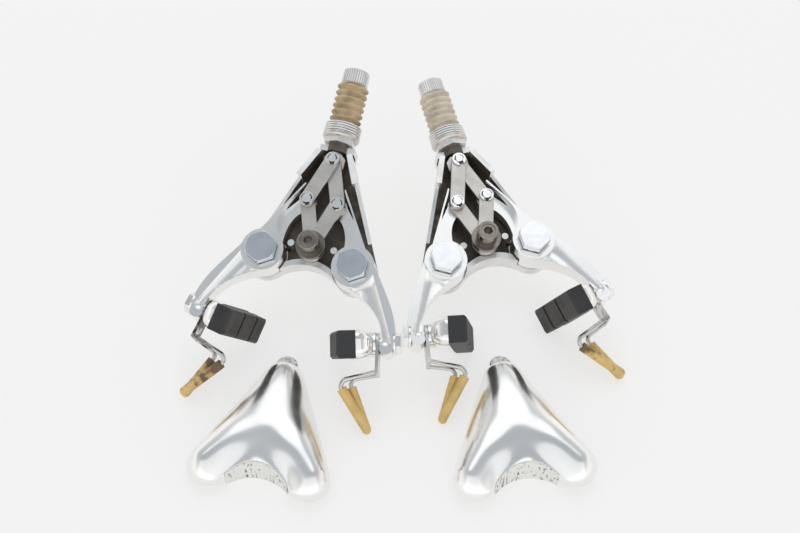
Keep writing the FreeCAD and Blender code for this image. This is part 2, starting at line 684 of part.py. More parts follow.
def pad_holder():
    """Polished holder, round all over and fuller near the pad, on a stud with a washer."""
    middle = DOME_S + (PAD_S - DOME_S) * HOLDER_BULGE_AT
    half_h = HOLDER_H / 2
    half_l = HOLDER_L / 2
    shell = Part.makeLoft([holder_section(DOME_S, HOLDER_BACK_H / 2, HOLDER_BACK_L / 2),
                           holder_section(middle, half_h * HOLDER_BULGE, half_l * HOLDER_BULGE),
                           holder_section(PAD_S, half_h, half_l)], True)
    outer_end = -(EYE_HALF + NUT_FLANGE_T + NUT_T)
    stud = along_stud(STUD_R, outer_end, middle)
    washer = along_stud(HOLDER_WASHER_R, HOLDER_S, DOME_S + HOLDER_WASHER_T / 2)
    return at_left_stud(fuse(toed(shell), stud, washer))


def brake_pad():
    """Rubber block with its front edges taken off and grooves across the braking face."""
    block = Part.makeBox(PAD_D, PAD_H, PAD_L, Vec(PAD_S, -PAD_H / 2, -PAD_L / 2))
    front = [e for e in block.Edges if abs(e.CenterOfMass.x - PAD_FACE_S) < SAME]
    block = block.makeChamfer(PAD_CHAMFER, front)
    for place in PAD_GROOVES:
        groove = Part.makeBox(PAD_GROOVE_D, PAD_H, PAD_GROOVE_W,
                              Vec(PAD_FACE_S - PAD_GROOVE_D, -PAD_H / 2, place - PAD_GROOVE_W / 2))
        block = block.cut(groove)
    return at_left_stud(toed(block))


def pad_nut():
    """Flanged nut on the outside of the arm."""
    nut = prism(polygon(*regular_polygon(NUT_AF)), 0, NUT_T)
    nut.rotate(ORIGIN, AXIS_Y, -90)
    nut.translate(Vec(-EYE_HALF - NUT_FLANGE_T, 0, 0))
    nut = fuse(nut, along_stud(NUT_FLANGE_R, -EYE_HALF - NUT_FLANGE_T, -EYE_HALF))
    nut = nut.cut(along_stud(STUD_R + HINGE_GAP, -EYE_HALF - NUT_FLANGE_T - NUT_T, -EYE_HALF))
    return at_left_stud(nut)


def guide_bends():
    """Each prong of the wheel guide as its three points: fold, bend and tip."""
    prongs = []
    for side, bend in ((1, FRONT_BEND), (-1, REAR_BEND)):
        z = side * PRONG_SPREAD / 2
        fold = Vec(EYE_HALF + PLATE_T / 2, -GUIDE_DROP, z)
        forward = TIP_SPREAD if side > 0 else 0
        tip = Vec(TIP_IN, -TIP_DOWN, TIP_Z - STUD_Z + forward)
        prongs.append((fold, Vec(bend[0], -bend[1], z), tip))
    return prongs


def prong(start, bend, end):
    """Round bar along two straight runs with a round bend between them."""
    back = (start - bend).normalize()
    ahead = (end - bend).normalize()
    half = back.getAngle(ahead) / 2
    reach = PRONG_BEND_R / math.tan(half)
    centre = bend + (back + ahead).normalize() * (PRONG_BEND_R / math.sin(half))
    first = bend + back * reach
    last = bend + ahead * reach
    middle = centre + (bend - centre).normalize() * PRONG_BEND_R
    path = Part.Wire([Part.makeLine(start, first), Part.Arc(first, middle, last).toShape(),
                      Part.makeLine(last, end)])
    section = Part.Wire(Part.makeCircle(PRONG_R, start, back))
    return path.makePipeShell([section], True, True)


def wheel_guide():
    """Bent steel plate on the stud that forks into two prongs."""
    eye = along_stud(PLATE_R, EYE_HALF, EYE_HALF + PLATE_T)
    length = GUIDE_DROP + PRONG_R
    drop = Part.makeBox(PLATE_T, length, GUIDE_W, Vec(EYE_HALF, -length, -GUIDE_W / 2))
    solid = fuse(eye, drop, *[prong(*points) for points in guide_bends()])
    solid = solid.cut(along_stud(STUD_R + HINGE_GAP, EYE_HALF, EYE_HALF + PLATE_T))
    return at_left_stud(solid)


def guide_sleeve():
    """Rubber sleeve over the forked end of the guide."""
    pieces = []
    tips = []
    for fold, bend, tip in guide_bends():
        start = bend + (tip - bend) * SLEEVE_START
        run = tip - start
        pieces.append(Part.makeCylinder(SLEEVE_R, run.Length, start, run))
        pieces.append(Part.makeSphere(SLEEVE_R, tip))
        tips.append(tip)
    pieces.append(Part.makeCylinder(SLEEVE_R, TIP_SPREAD, tips[0], tips[1] - tips[0]))
    sleeve = at_left_stud(fuse(*pieces))
    return sleeve.cut(wheel_guide())


# Cover, in its own frame: rim on z = 0, x to the right, y up

def arch_radius():
    """The arch touches both rounded corners of the outline."""
    corner_x = COVER_HALF - COVER_CORNER_R
    rise = COVER_ARCH_Y - COVER_CORNER_Y
    return (corner_x ** 2 + rise ** 2 - COVER_CORNER_R ** 2) / (2 * (COVER_CORNER_R + rise))


def cover_outline(inset):
    """Closed outline of the cover, or of its hollow, drawn in by the inset."""
    corner = (COVER_HALF - COVER_CORNER_R, COVER_CORNER_Y)
    crown = (0, COVER_CROWN_Y)
    corner_r = COVER_CORNER_R - inset
    crown_r = COVER_CROWN_R - inset
    lean = math.degrees(math.atan2(corner[0], crown[1] - corner[1]))
    to_arch = math.degrees(math.atan2(COVER_ARCH_Y - arch_radius() - corner[1], -corner[0]))
    foot = on_circle(corner, corner_r, to_arch)
    low = on_circle(corner, corner_r, (to_arch + lean) / 2)
    hip = on_circle(corner, corner_r, lean)
    neck = on_circle(crown, crown_r, lean)
    waist = on_circle(((hip[0] + neck[0]) / 2, (hip[1] + neck[1]) / 2), COVER_WAIST, lean + 180)
    arch = (0, COVER_ARCH_Y + inset)
    top = (0, COVER_CROWN_Y + crown_r)
    return [arc(flip(foot), arch, foot), arc(foot, low, hip), arc(hip, waist, neck),
            arc(neck, top, flip(neck)), arc(flip(neck), flip(waist), flip(hip)),
            arc(flip(hip), flip(low), flip(foot))]


def dome(inset):
    """Block of the cover's outline under a ball, its upper edge well rounded."""
    solid = prism(cover_outline(inset), 0, COVER_DEPTH)
    ball_r = COVER_BALL_R - inset
    solid = solid.common(Part.makeSphere(ball_r, Vec(0, COVER_CENTRE_Y, COVER_DEPTH - COVER_BALL_R)))
    top = [face for face in solid.Faces if isinstance(face.Surface, Part.Sphere)][0]
    return solid.makeFillet(COVER_ROUND - inset, top.OuterWire.Edges)


def cover():
    """Polished shell with a rough lip under its arch and a lug at its crown."""
    hollow = dome(COVER_WALL)
    shell = dome(0).cut(hollow)
    outer_r = arch_radius()
    arch_y = COVER_ARCH_Y - outer_r
    end = (LIP_HALF, arch_y + math.sqrt(outer_r ** 2 - LIP_HALF ** 2))
    upper = (LIP_HALF, end[1] + LIP_T)
    lip = prism([arc(flip(end), (0, COVER_ARCH_Y), end), line(end, upper),
                 arc(upper, (0, COVER_ARCH_Y + LIP_T), flip(upper)), line(flip(upper), flip(end))],
                -LIP_DEPTH, COVER_WALL)
    lug_y = COVER_CROWN_Y + COVER_CROWN_R + LUG_OUT - LUG_R
    lug = disc((0, lug_y), LUG_R, -LIP_DEPTH, LUG_TOP)
    return fuse(shell, lip, lug.cut(hollow))


# Placing

def rest_tilt(name):
    """Lean of a caliper that lies on its mounting bolt's end and its two sleeve tips."""
    tip_y = stud_point(TIP_IN, TIP_DOWN)[1]
    reach = MOUNT_Y - MOUNT_R + MOUNT_CHAMFER - tip_y
    rise = MOUNT_L[name] + TIP_Z
    return math.degrees(math.atan2(rise, reach) - math.asin(SLEEVE_R / math.hypot(rise, reach)))


def caliper_place(name):
    """Placement of a caliper's frame on the table."""
    lean = rest_tilt(name)
    bolt_y = MOUNT_Y - MOUNT_R + MOUNT_CHAMFER
    height = MOUNT_L[name] * math.cos(math.radians(lean)) - bolt_y * math.sin(math.radians(lean))
    x, y = CALIPER_PLACE[name]
    turn = FreeCAD.Rotation(AXIS_Z, TURN[name]).multiply(FreeCAD.Rotation(AXIS_X, lean))
    return FreeCAD.Placement(Vec(x, y, height), turn)


def cover_place(name):
    x, y = COVER_PLACE[name]
    return FreeCAD.Placement(Vec(x, y, LIP_DEPTH), FreeCAD.Rotation(AXIS_Z, COVER_TURN[name]))


def arm_set(side):
    """The arm of one side and all that it carries."""
    left = {"arm": mirrored(arm()), "link_pin": mirrored(link_pin()), "pad_holder": pad_holder(),
            "brake_pad": brake_pad(), "pad_nut": pad_nut(), "wheel_guide": wheel_guide(),
            "guide_sleeve": guide_sleeve()}
    if side == "left":
        return left
    return {piece: mirrored(solid) for piece, solid in left.items()}


def caliper():
    """Every piece of one caliper that has a node of its own."""
    pieces = {"body": body(), "guide_collar": guide_collar(),
              "top_block": top_block(), "bellows": bellows(),
              "adjuster_barrel": adjuster_barrel(), "adjuster_cap": adjuster_cap(),
              "anchor_pin": anchor_pin(), "anchor_bolt": anchor_bolt(),
              "return_springs": Part.makeCompound([return_spring(x) for x in (-PIVOT_HALF, PIVOT_HALF)]),
              "upper_left_link": upper_link(-1, FRONT_LINK_Z),
              "upper_right_link": upper_link(1, REAR_LINK_Z),
              "lower_left_link": lower_link(-1, REAR_LINK_Z),
              "lower_right_link": lower_link(1, FRONT_LINK_Z)}
    for side in ("left", "right"):
        for piece, solid in arm_set(side).items():
            pieces[side + "_" + piece] = solid
    return pieces


def fasteners():
    """Fasteners that both calipers have alike: each kind is one node."""
    return {"pivot_bolts": [pivot_bolt(-PIVOT_HALF), pivot_bolt(PIVOT_HALF)],
            "top_pins": top_pin()}


def placed(solid, placement):
    copy = solid.copy()
    copy.Placement = placement.multiply(copy.Placement)
    return copy


def assemble():
    """All nodes on the table, with the origin under the middle of the pair."""
    nodes = {}
    pieces = caliper()
    for name in ("front", "rear"):
        for piece, solid in pieces.items():
            nodes[name + "_" + piece] = placed(solid, caliper_place(name))
        nodes[name + "_mounting_bolt"] = placed(mounting_bolt(MOUNT_L[name]), caliper_place(name))
        nodes[name + "_cover"] = placed(cover(), cover_place(name))
    for kind, solids in fasteners().items():
        both = [placed(solid, caliper_place(name)) for name in ("front", "rear") for solid in solids]
        nodes[kind] = Part.makeCompound(both)
    box = FreeCAD.BoundBox()
    for solid in nodes.values():
        box.add(solid.optimalBoundingBox(False, False))
    shift = Vec(-box.Center.x, -box.Center.y, -box.ZMin)
    for solid in nodes.values():
        solid.translate(shift)
    return nodes, shift


def main():
    os.makedirs("parts", exist_ok=True)
    nodes, shift = assemble()
    for node, solid in nodes.items():
        solid.exportStep(os.path.join("parts", node + ".step"))
    print("nodes", len(nodes), "shift", [round(v, 3) for v in shift])


if __name__ == "__main__":
    main()
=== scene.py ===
"""Pair of delta brake calipers with their covers taken off: finishes, fine detail and a studio stage."""

import json
import math

import bmesh
import bpy
import numpy as np
from mathutils import Matrix, Vector

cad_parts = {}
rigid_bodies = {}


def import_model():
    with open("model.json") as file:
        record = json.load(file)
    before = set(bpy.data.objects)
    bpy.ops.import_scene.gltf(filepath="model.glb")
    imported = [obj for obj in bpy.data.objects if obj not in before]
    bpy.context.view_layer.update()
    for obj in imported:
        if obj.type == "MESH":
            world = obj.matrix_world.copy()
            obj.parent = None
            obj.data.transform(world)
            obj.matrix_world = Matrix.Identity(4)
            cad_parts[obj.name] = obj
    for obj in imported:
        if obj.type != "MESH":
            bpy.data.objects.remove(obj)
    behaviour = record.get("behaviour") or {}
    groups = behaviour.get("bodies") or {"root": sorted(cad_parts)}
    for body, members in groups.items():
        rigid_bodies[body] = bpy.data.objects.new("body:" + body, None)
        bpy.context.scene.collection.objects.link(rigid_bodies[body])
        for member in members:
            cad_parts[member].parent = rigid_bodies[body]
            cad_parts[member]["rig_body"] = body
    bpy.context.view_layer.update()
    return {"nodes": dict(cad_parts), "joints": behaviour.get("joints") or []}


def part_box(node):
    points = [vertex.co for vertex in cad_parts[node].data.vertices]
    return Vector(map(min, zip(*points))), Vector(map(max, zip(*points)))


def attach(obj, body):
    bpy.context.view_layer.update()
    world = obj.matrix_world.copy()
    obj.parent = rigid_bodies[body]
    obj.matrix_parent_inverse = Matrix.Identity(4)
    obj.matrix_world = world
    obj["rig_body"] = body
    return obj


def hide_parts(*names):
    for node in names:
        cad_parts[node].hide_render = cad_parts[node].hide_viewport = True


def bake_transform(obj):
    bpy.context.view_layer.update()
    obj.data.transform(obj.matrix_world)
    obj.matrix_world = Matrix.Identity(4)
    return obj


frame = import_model()

bl_info = {
    "name": "Delta brake calipers",
    "version": (1, 0, 0),
    "blender": (4, 5, 0),
    "location": "View3D > Sidebar > Calipers",
    "description": "Finishes and fine detail for a pair of delta brake calipers",
    "category": "Object",
}

MM = 0.001
CALIPERS = ("front", "rear")
SIDES = ("left", "right")
EDGE_ANGLE = 32             # edges sharper than this are softened
EDGE_STEPS = 2
FLAT_ANGLE = 0.6            # faces within this angle count as one flat face
WELD = 2e-6                 # corners within this distance, in metres, are one
FLAT_WEIGHT = 90            # how strongly large faces set the shading
SMOOTH_ANGLE = 35           # edges of turned and grown meshes sharper than this stay sharp
ROUND_SEGMENTS = 96
LAP = 0.1                   # millimetres by which a mesh reaches into the next, or ends inside it
AXIS_R = 0.01               # radius where a turned solid closes on its axis
WORN = "worn"               # attribute that marks worn places
FINISHES = {}               # materials by name, once they are made

# Places in a caliper's own axes, in millimetres: x across, y up to the adjuster, z to the front
PIVOT_Z = 12.1              # where the arm pivots are measured
ADJUSTER_Z = 7.4            # height of the adjuster's axis
COLLAR_Y = 55.8
COLLAR_TOP_Y = 62.2
COLLAR_R = 8.0
COLLAR_PLAIN = 2.0          # height of the plain band under the rings
COLLAR_FOOT = ((1.4, 0.0), (0.5, 0.3), (0.0, 1.0))  # inset and height of its rounded foot
RING_FULLNESS = 0.3
RING_STEPS = 16
GROOVE_FILL = 0.55          # share of the grooves' depth that stays open above their dark fill of painted shade
NECK_R = 4.4
NECK_Y = 49.9
HEX_Y = 53.4
HEX_T = 2.4
HEX_AF = 12.4
HEX_SIDES = 6
BORE_R = 3.25
BARREL_R = 3.2
BARREL_Y = (54.3, 83.4)
GAITER_L = 17.9
GAITER_R = 6.9
GAITER_SEGMENTS = 72
FOLD_FULLNESS = 2.2
FOLD_STEPS = 14
THREAD_FULLNESS = 0.8
THREAD_STEPS = 10           # rings of a thread per millimetre
THREAD_SEGMENTS = 48
CAP_SHADE_R = 4.6             # ring of painted shade between the gaiter and the cap
CAP_Y = 81.2
CAP_T = 7.0
CAP_R = 5.8
CAP_SOCKET_R = 2.6
CAP_SOCKET_L = 4.5
CAP_EDGE = 0.5
KNURL_DEPTH = 0.45
KNURL_SHARE = 0.72          # share of the knurl's pitch that is ridge
KNURL_FLOOR = 0.05          # thickness of the darker floor between the ridges, which is painted shade
KNURL_SIDES = 6
PINS = {"left": (-6.6, 25.5), "right": (6.6, 25.5)}
TOP_PIN = (0.0, 44.909)
PIN_R = 1.9
TOP_PIN_R = 1.6
CLIP_TOP_Z = 15.1
CLIP_GAP = 0.5              # width of the painted shade in the gaps between a pin and its clip
CLIP_GAPS = 3
CLIP_SWEEP = 68             # degrees that each gap reaches round the pin
CLIP_GAP_Z = (-0.2, 0.03)   # from the top of the clip
CLIP_GAP_POINTS = 13        # along each edge of a gap
PLATE_Z = 3.5               # front of the body's back plate
HEART_Y = 22.0              # middle of the hollow between the links
SHADE_DEPTH = 0.5            # painted shade lies on faces this near the back plate
SHADE_Y = -4.0               # and above this height
SHADE_FACING = 0.7           # least cosine to the front of a face with painted shade
WALL_FACING = 0.5           # same limit for the walls that look at the hollow
MOUNT_Y = 8.0
MOUNT_R = 3.0
MOUNT_HEAD = 2.5            # of the bolt inside the body
MOUNT_FLANGE_R = 6.5
MOUNT_FLANGE_T = 2.0
MOUNT_GAP = 0.01            # between the flange and the body
MOUNT_SEGMENTS = 64
MOUNT_L = {"front": 26.2, "rear": 16.3}

# Covers lie on the table: the origin of each in the row frame, and its turn
COVER_PLACE = {"front": (-57.495, -83.426), "rear": (48.105, -83.526)}
COVER_TURN = {"front": -10.5, "rear": 9.0}
COVER_RIM_Z = 4.2
COVER_HALF = 29.0
COVER_CORNER_R = 8.6
COVER_CORNER_Y = -0.6
COVER_CROWN_R = 8.4
COVER_CROWN_Y = 43.6
COVER_ARCH_Y = 0.4
COVER_CENTRE_Y = 15.0
COVER_DEPTH = 14.5
COVER_WALL = 1.7
LIP_HALF = 12.6
LIP_T = 2.4
LUG_R = 4.4
LUG_OUT = 2.6
LUG_TOP = 4.8
LIP_PROUD = 0.25
LIP_UNDER = 1.0             # the lip stays this far under the edge of the shell
LIP_STEPS = 24
LUG_EDGE = 0.5
LUG_SEGMENTS = 48
ARCH_RISE = 6.5             # the arch edge stands higher in its middle
ARCH_FLARE = 1.9            # power of the height near the arch, where the cover flattens out
ARCH_REACH = (16.0, 12.0)   # how far that reaches across and inwards
RIDGE_LIFT = 0.6            # how far the crown and the corners are lifted to the height of the middle
RIDGE_LEAST = 0.2
RIDGE_START = 9.0           # the lift grows over this far from the middle
RIDGE_SPREAD = 0.2          # cosine of the angle where the lift of a ridge ends
CORNER_FALL = -0.75         # slope of the ridge towards a corner, seen from above
ARC_STEPS = 48              # of each round stretch of the outline
SHELL_RINGS = 20
SHELL_POINTS = 168          # round the rim
SHELL_CROWDING = 1.5        # above 1 the rings crowd towards the rim
SHELL_ANGLE = 50            # edges of the shell sharper than this stay sharp

# Inner wheel guides have their legs pulled together, by a share that fades out above the sleeve
PULLED = (("front", "right"), ("rear", "left"))
PULL = 0.5
PULL_END = 1.5
PULL_BLEND = 1.0            # millimetres over which the pull changes sides
SLEEVE_END = 0.85           # share of a sleeve's length where its legs are measured

# Stage, in metres
TABLE_HALF = 3.0
TABLE_Z = -0.05 * MM        # just under the pieces
TABLE_ROUGHNESS = 0.6
CAMERA_CLIP = 0.01
GLOW = 0.6                  # share of white that these rays see in the table
GLOW_RAYS = ("Is Camera Ray", "Is Glossy Ray", "Is Transmission Ray")
SOFTBOX_PLACE = (0.0, 0.64, 1.13)
SOFTBOX_SIZE = (1.3, 1.13)
FILL_PLACE = (0.0, -1.3, 1.0)
FILL_SIZE = (3.6, 1.8)
ROOM_STRENGTH = 1.1
ROOM_TONES = (              # from the horizon to the zenith
    (0.0, (0.97, 0.96, 0.945, 1)), (0.25, (0.88, 0.875, 0.865, 1)),
    (0.5, (0.515, 0.53, 0.55, 1)), (1.0, (0.385, 0.415, 0.45, 1)))

# How far each wheel guide is browned and each sleeve scuffed, and the side where that is strongest
BROWNED = {("front", "left"): 0.85, ("front", "right"): 0.2, ("rear", "left"): 0.2, ("rear", "right"): 0.5}
SCUFFED = {("front", "left"): 0.9, ("front", "right"): 0.0, ("rear", "left"): 0.0, ("rear", "right"): 0.55}
BROWNED_SIDE = Vector((0, 1, 0))
SCUFFED_SIDE = Vector((0, 0.35, 1))
PAD_FACING = 0.75           # least cosine between a braking face and the way from holder to pad

# Grain of the finishes: noise scales, noise detail, and where on the noise a stain starts and ends
GRAIN_DETAIL = 4.0
STAIN_DETAIL = 5.0
GRAIN_RANGE = (0.35, 0.65)  # part of the noise that is spread out
METAL_SCALE = 260.0
METAL_STAIN_SHARE = 0.4     # scale of the stains against that of the polish
METAL_STAINS = (0.30, 0.55)
RUBBER_SCALE = 180.0
RUBBER_STAINS = (0.32, 0.56)
RUBBER_GRAIN = 1500.0
RUBBER_GRAIN_DETAIL = 3.0
RUBBER_BUMP = 0.25
RUBBER_BUMP_DEPTH = 0.1 * MM
CAST_SCALE = 900.0
CAST_STRETCH = (1, 1, 0.35)
CAST_STAINS = (0.34, 0.43)
CAST_DARK = 0.3
CAST_BUMP = 0.6
CAST_BUMP_DEPTH = 0.3 * MM
WORN_SCALE = 260.0
WORN_UNEVEN = 0.25          # how far the edge of a worn patch wanders


def fine_length(name, description, millimetres):
    return bpy.props.FloatProperty(
        name=name, description=description, default=millimetres * MM, unit="LENGTH", precision=5)


class CaliperSizes(bpy.types.PropertyGroup):
    """Fine sizes that the solids don't hold."""

    edge: fine_length("Edge", "Softening of machined edges", 0.22)
    polish_edge: fine_length("Polished edge", "Softening of buffed edges", 0.5)
    sleeve_edge: fine_length("Sleeve edge", "Softening of the rubber sleeves", 0.7)
    folds: bpy.props.IntProperty(
        name="Gaiter folds", description="Folds of the rubber gaiter", default=6, min=2)
    fold_depth: fine_length("Fold depth", "Depth between two folds", 2.0)
    rings: bpy.props.IntProperty(
        name="Collar rings", description="Ridges round the collar", default=4, min=1)
    ring_depth: fine_length("Ring depth", "Depth of the collar's grooves", 0.5)
    knurls: bpy.props.IntProperty(
        name="Knurls", description="Straight ridges round the finger nut", default=34, min=8)
    thread_pitch: fine_length("Thread pitch", "Pitch of the bolt threads", 1.0)
    thread_depth: fine_length("Thread depth", "Depth of the bolt threads", 0.45)
    cover_wall: fine_length("Cover rim", "Upright rim below the cover's dome", 3.0)
    cover_fullness: bpy.props.FloatProperty(
        name="Cover fullness", description="Power of the inflated height, lower is flatter on top",
        default=0.72, min=0.2, max=1.0)


def colour(name, description, default):
    return bpy.props.FloatVectorProperty(
        name=name, description=description, subtype="COLOR", size=4, min=0.0, max=1.0, default=default)


class CaliperFinishes(bpy.types.PropertyGroup):
    """Colours of the finishes."""

    polished: colour("Polished aluminium", "Arms, covers, pad holders and caps", (0.95, 0.94, 0.92, 1))
    satin: colour("Satin aluminium", "Caliper bodies and collar hexagons", (0.86, 0.85, 0.83, 1))
    # Painted shade: dark tone for the floors under the links and the collar necks, where shade falls
    recess_shade: colour("Recess shade", "Floors under the links, collar necks", (0.19, 0.165, 0.14, 1))
    # Painted shade on the walls inside the bodies that face the hollow
    wall_shade: colour("Wall shade", "Walls inside the bodies", (0.42, 0.37, 0.31, 1))
    # Link steel also makes the darker floor between the cap's knurls, where it is painted shade
    link: colour("Link steel", "Links, blocks, collar bands and cap grooves", (0.68, 0.645, 0.60, 1))
    bright: colour("Bright steel", "Clips, pins, nuts, bolts, barrels, collars", (0.93, 0.925, 0.91, 1))
    dark: colour("Dark steel", "Cable anchors and return springs", (0.30, 0.265, 0.23, 1))
    # Painted shade, put in the gaps at the clips, in the grooves of the collars and under the caps
    gap: colour("Gap shade", "Dark gaps at clips, collars and caps", (0.05, 0.045, 0.04, 1))
    pivot: colour("Pivot steel", "Hexagon heads of the front caliper", (0.70, 0.74, 0.77, 1))
    pivot_pale: colour("Pale pivot steel", "Hexagon heads of the rear caliper", (0.95, 0.95, 0.95, 1))
    guide: colour("Guide steel", "Wheel guides", (0.66, 0.645, 0.62, 1))
    rust: colour("Browned steel", "Worn plate of a wheel guide", (0.085, 0.065, 0.05, 1))
    cast: colour("Raw casting", "Lips and lugs of the covers", (0.86, 0.85, 0.82, 1))
    gaiter: colour("Gaiter rubber", "Gaiter of the front caliper", (0.66, 0.51, 0.325, 1))
    gaiter_pale: colour("Pale gaiter rubber", "Gaiter of the rear caliper", (0.78, 0.70, 0.58, 1))
    amber: colour("Amber rubber", "Sleeves of the wheel guides", (0.80, 0.55, 0.20, 1))
    scuffed: colour("Scuffed rubber", "Worn leg of a sleeve", (0.17, 0.11, 0.05, 1))
    pad: colour("Pad rubber", "Brake pads", (0.030, 0.030, 0.030, 1))
    worn: colour("Worn pad", "Braking faces", (0.075, 0.070, 0.066, 1))


class CaliperStage(bpy.types.PropertyGroup):
    """Camera, lamps and table."""

    elevation: bpy.props.FloatProperty(
        name="Elevation", description="Camera above the table", subtype="ANGLE", default=math.radians(52))
    distance: bpy.props.FloatProperty(
        name="Distance", description="From the camera to its aim", unit="LENGTH", default=0.7)
    lens: bpy.props.FloatProperty(
        name="Lens", description="Focal length in millimetres", default=71.24)
    aim: bpy.props.FloatVectorProperty(
        name="Aim", description="Point that the camera looks at", subtype="TRANSLATION",
        default=(-0.0014, 0.0245, 0.0))
    lamp: bpy.props.FloatProperty(
        name="Lamp", description="Power of the overhead softbox", unit="POWER", default=2.9)
    fill: bpy.props.FloatProperty(
        name="Fill", description="Power of the lamp behind the camera", unit="POWER", default=8.0)
    table: colour("Table", "Pale table", (0.95, 0.935, 0.905, 1))


# Axes

def caliper_axes(name):
    """A caliper's own axes in the row frame, read from its joints. Points go in as millimetres."""
    joints = {joint["name"]: joint for joint in frame["joints"]}
    left = Vector(joints[name + "_left_arm_pivot"]["pos_m"])
    right = Vector(joints[name + "_right_arm_pivot"]["pos_m"])
    up = Vector(joints[name + "_barrel_slide"]["axis"]).normalized()
    front = Vector(joints[name + "_left_arm_pivot"]["axis"]).normalized()
    across = up.cross(front)
    origin = (left + right) / 2 - front * PIVOT_Z * MM
    turn = Matrix((across, up, front)).transposed().to_4x4()
    return Matrix.Translation(origin) @ turn @ Matrix.Scale(MM, 4)


def along_adjuster(name, y):
    """Axes of a turned piece on a caliper's adjuster: z along it, from the height y."""
    place = Matrix.Translation((0, y, ADJUSTER_Z)) @ Matrix.Rotation(math.radians(-90), 4, "X")
    return caliper_axes(name) @ place


def along_mounting_bolt(name, z):
    return caliper_axes(name) @ Matrix.Translation((0, MOUNT_Y, z))


def cover_axes(name):
    x, y = COVER_PLACE[name]
    turn = Matrix.Rotation(math.radians(COVER_TURN[name]), 4, "Z")
    return Matrix.Translation((x * MM, y * MM, COVER_RIM_Z * MM)) @ turn @ Matrix.Scale(MM, 4)


# Meshes

def new_object(name, mesh, *materials):
    piece = bpy.data.objects.new(name, mesh)
    bpy.context.scene.collection.objects.link(piece)
    for material in materials:
        mesh.materials.append(material)
    return piece


def smooth(mesh, degrees=SMOOTH_ANGLE):
    mesh.shade_smooth()
    mesh.set_sharp_from_angle(angle=math.radians(degrees))


def bake(piece):
    """Turns a piece with modifiers into a plain mesh."""
    graph = bpy.context.evaluated_depsgraph_get()
    mesh = bpy.data.meshes.new_from_object(piece.evaluated_get(graph))
    piece.modifiers.clear()
    piece.data = mesh
    return piece


def from_bmesh(shape, name):
    mesh = bpy.data.meshes.new(name)
    bmesh.ops.recalc_face_normals(shape, faces=shape.faces)
    shape.to_mesh(mesh)
    shape.free()
    return mesh


def turned(name, profile, axes, segments=ROUND_SEGMENTS):
    """Closed ring of (radius, height) points turned about z, then placed."""
    shape = bmesh.new()
    rings = []
    for radius, height in profile:
        ring = []
        for i in range(segments):
            angle = 2 * math.pi * i / segments
            ring.append(shape.verts.new((radius * math.cos(angle), radius * math.sin(angle), height)))
        rings.append(ring)
    for low, high in zip(rings, rings[1:] + rings[:1]):
        for i in range(segments):
            j = (i + 1) % segments
            shape.faces.new((low[i], low[j], high[j], high[i]))
    mesh = from_bmesh(shape, name)
    mesh.transform(axes)
    smooth(mesh)
    return mesh


def prism(name, outline, low, high, axes):
    """Flat outline raised from low to high."""
    shape = bmesh.new()
    floor = [shape.verts.new((x, y, low)) for x, y in outline]
    roof = [shape.verts.new((x, y, high)) for x, y in outline]
    shape.faces.new(floor[::-1])
    shape.faces.new(roof)
    for i in range(len(outline)):
        j = (i + 1) % len(outline)
        shape.faces.new((floor[i], floor[j], roof[j], roof[i]))
    mesh = from_bmesh(shape, name)
    mesh.transform(axes)
    smooth(mesh)
    return mesh


def joined(name, parts):
    """One object from several meshes, each with its own material."""
    pieces = []
    for mesh, material in parts:
        mesh.materials.clear()
        pieces.append(new_object(name, mesh, material))
    with bpy.context.temp_override(active_object=pieces[0], selected_editable_objects=pieces):
        bpy.ops.object.join()
    pieces[0].name = name
    return pieces[0]


def dressed(node, edge, *materials):
    """Copy of a solid with softened edges and smooth faces, which stands for it."""
    shape = bmesh.new()
    shape.from_mesh(frame["nodes"][node].data)
    bmesh.ops.remove_doubles(shape, verts=shape.verts, dist=WELD)
    bmesh.ops.dissolve_limit(shape, angle_limit=math.radians(FLAT_ANGLE), verts=shape.verts,
                             edges=shape.edges)
    mesh = bpy.data.meshes.new(node + "_finish")
    shape.to_mesh(mesh)
    shape.free()
    mesh.shade_smooth()
    piece = new_object(node + "_finish", mesh, *materials)
    if edge:
        bevel = piece.modifiers.new("Edge", "BEVEL")
        bevel.width = edge
        bevel.segments = EDGE_STEPS
        bevel.limit_method = "ANGLE"
        bevel.angle_limit = math.radians(EDGE_ANGLE)
    normals = piece.modifiers.new("Flat faces", "WEIGHTED_NORMAL")
    normals.weight = FLAT_WEIGHT
    bake(piece)
    return carried(piece, node)


def carried(piece, *nodes):
    """Lets a piece ride where its solids ride and stand for them."""
    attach(piece, frame["nodes"][nodes[0]]["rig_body"])
    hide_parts(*nodes)
    return piece


# Geometry node trees

def new_tree(name, sockets):
    tree = bpy.data.node_groups.new(name, "GeometryNodeTree")
    for socket, kind in sockets:
        tree.interface.new_socket(socket, in_out="INPUT", socket_type=kind)
    tree.interface.new_socket("Geometry", in_out="OUTPUT", socket_type="NodeSocketGeometry")
    return tree


def maths(tree, operation, first, second=None):
    """A Math node. Inputs are sockets or numbers."""
    node = tree.nodes.new("ShaderNodeMath")
    node.operation = operation
    for socket, value in zip(node.inputs, (first, second)):
        if isinstance(value, bpy.types.NodeSocket):
            tree.links.new(value, socket)
        elif value is not None:
            socket.default_value = value
    return node.outputs[0]


def close_tree(tree, geometry, material):
    realize = tree.nodes.new("GeometryNodeRealizeInstances")
    paint = tree.nodes.new("GeometryNodeSetMaterial")
    end = tree.nodes.new("NodeGroupOutput")
    tree.links.new(geometry, realize.inputs[0])
    tree.links.new(realize.outputs[0], paint.inputs["Geometry"])
    tree.links.new(material, paint.inputs["Material"])
    tree.links.new(paint.outputs[0], end.inputs[0])


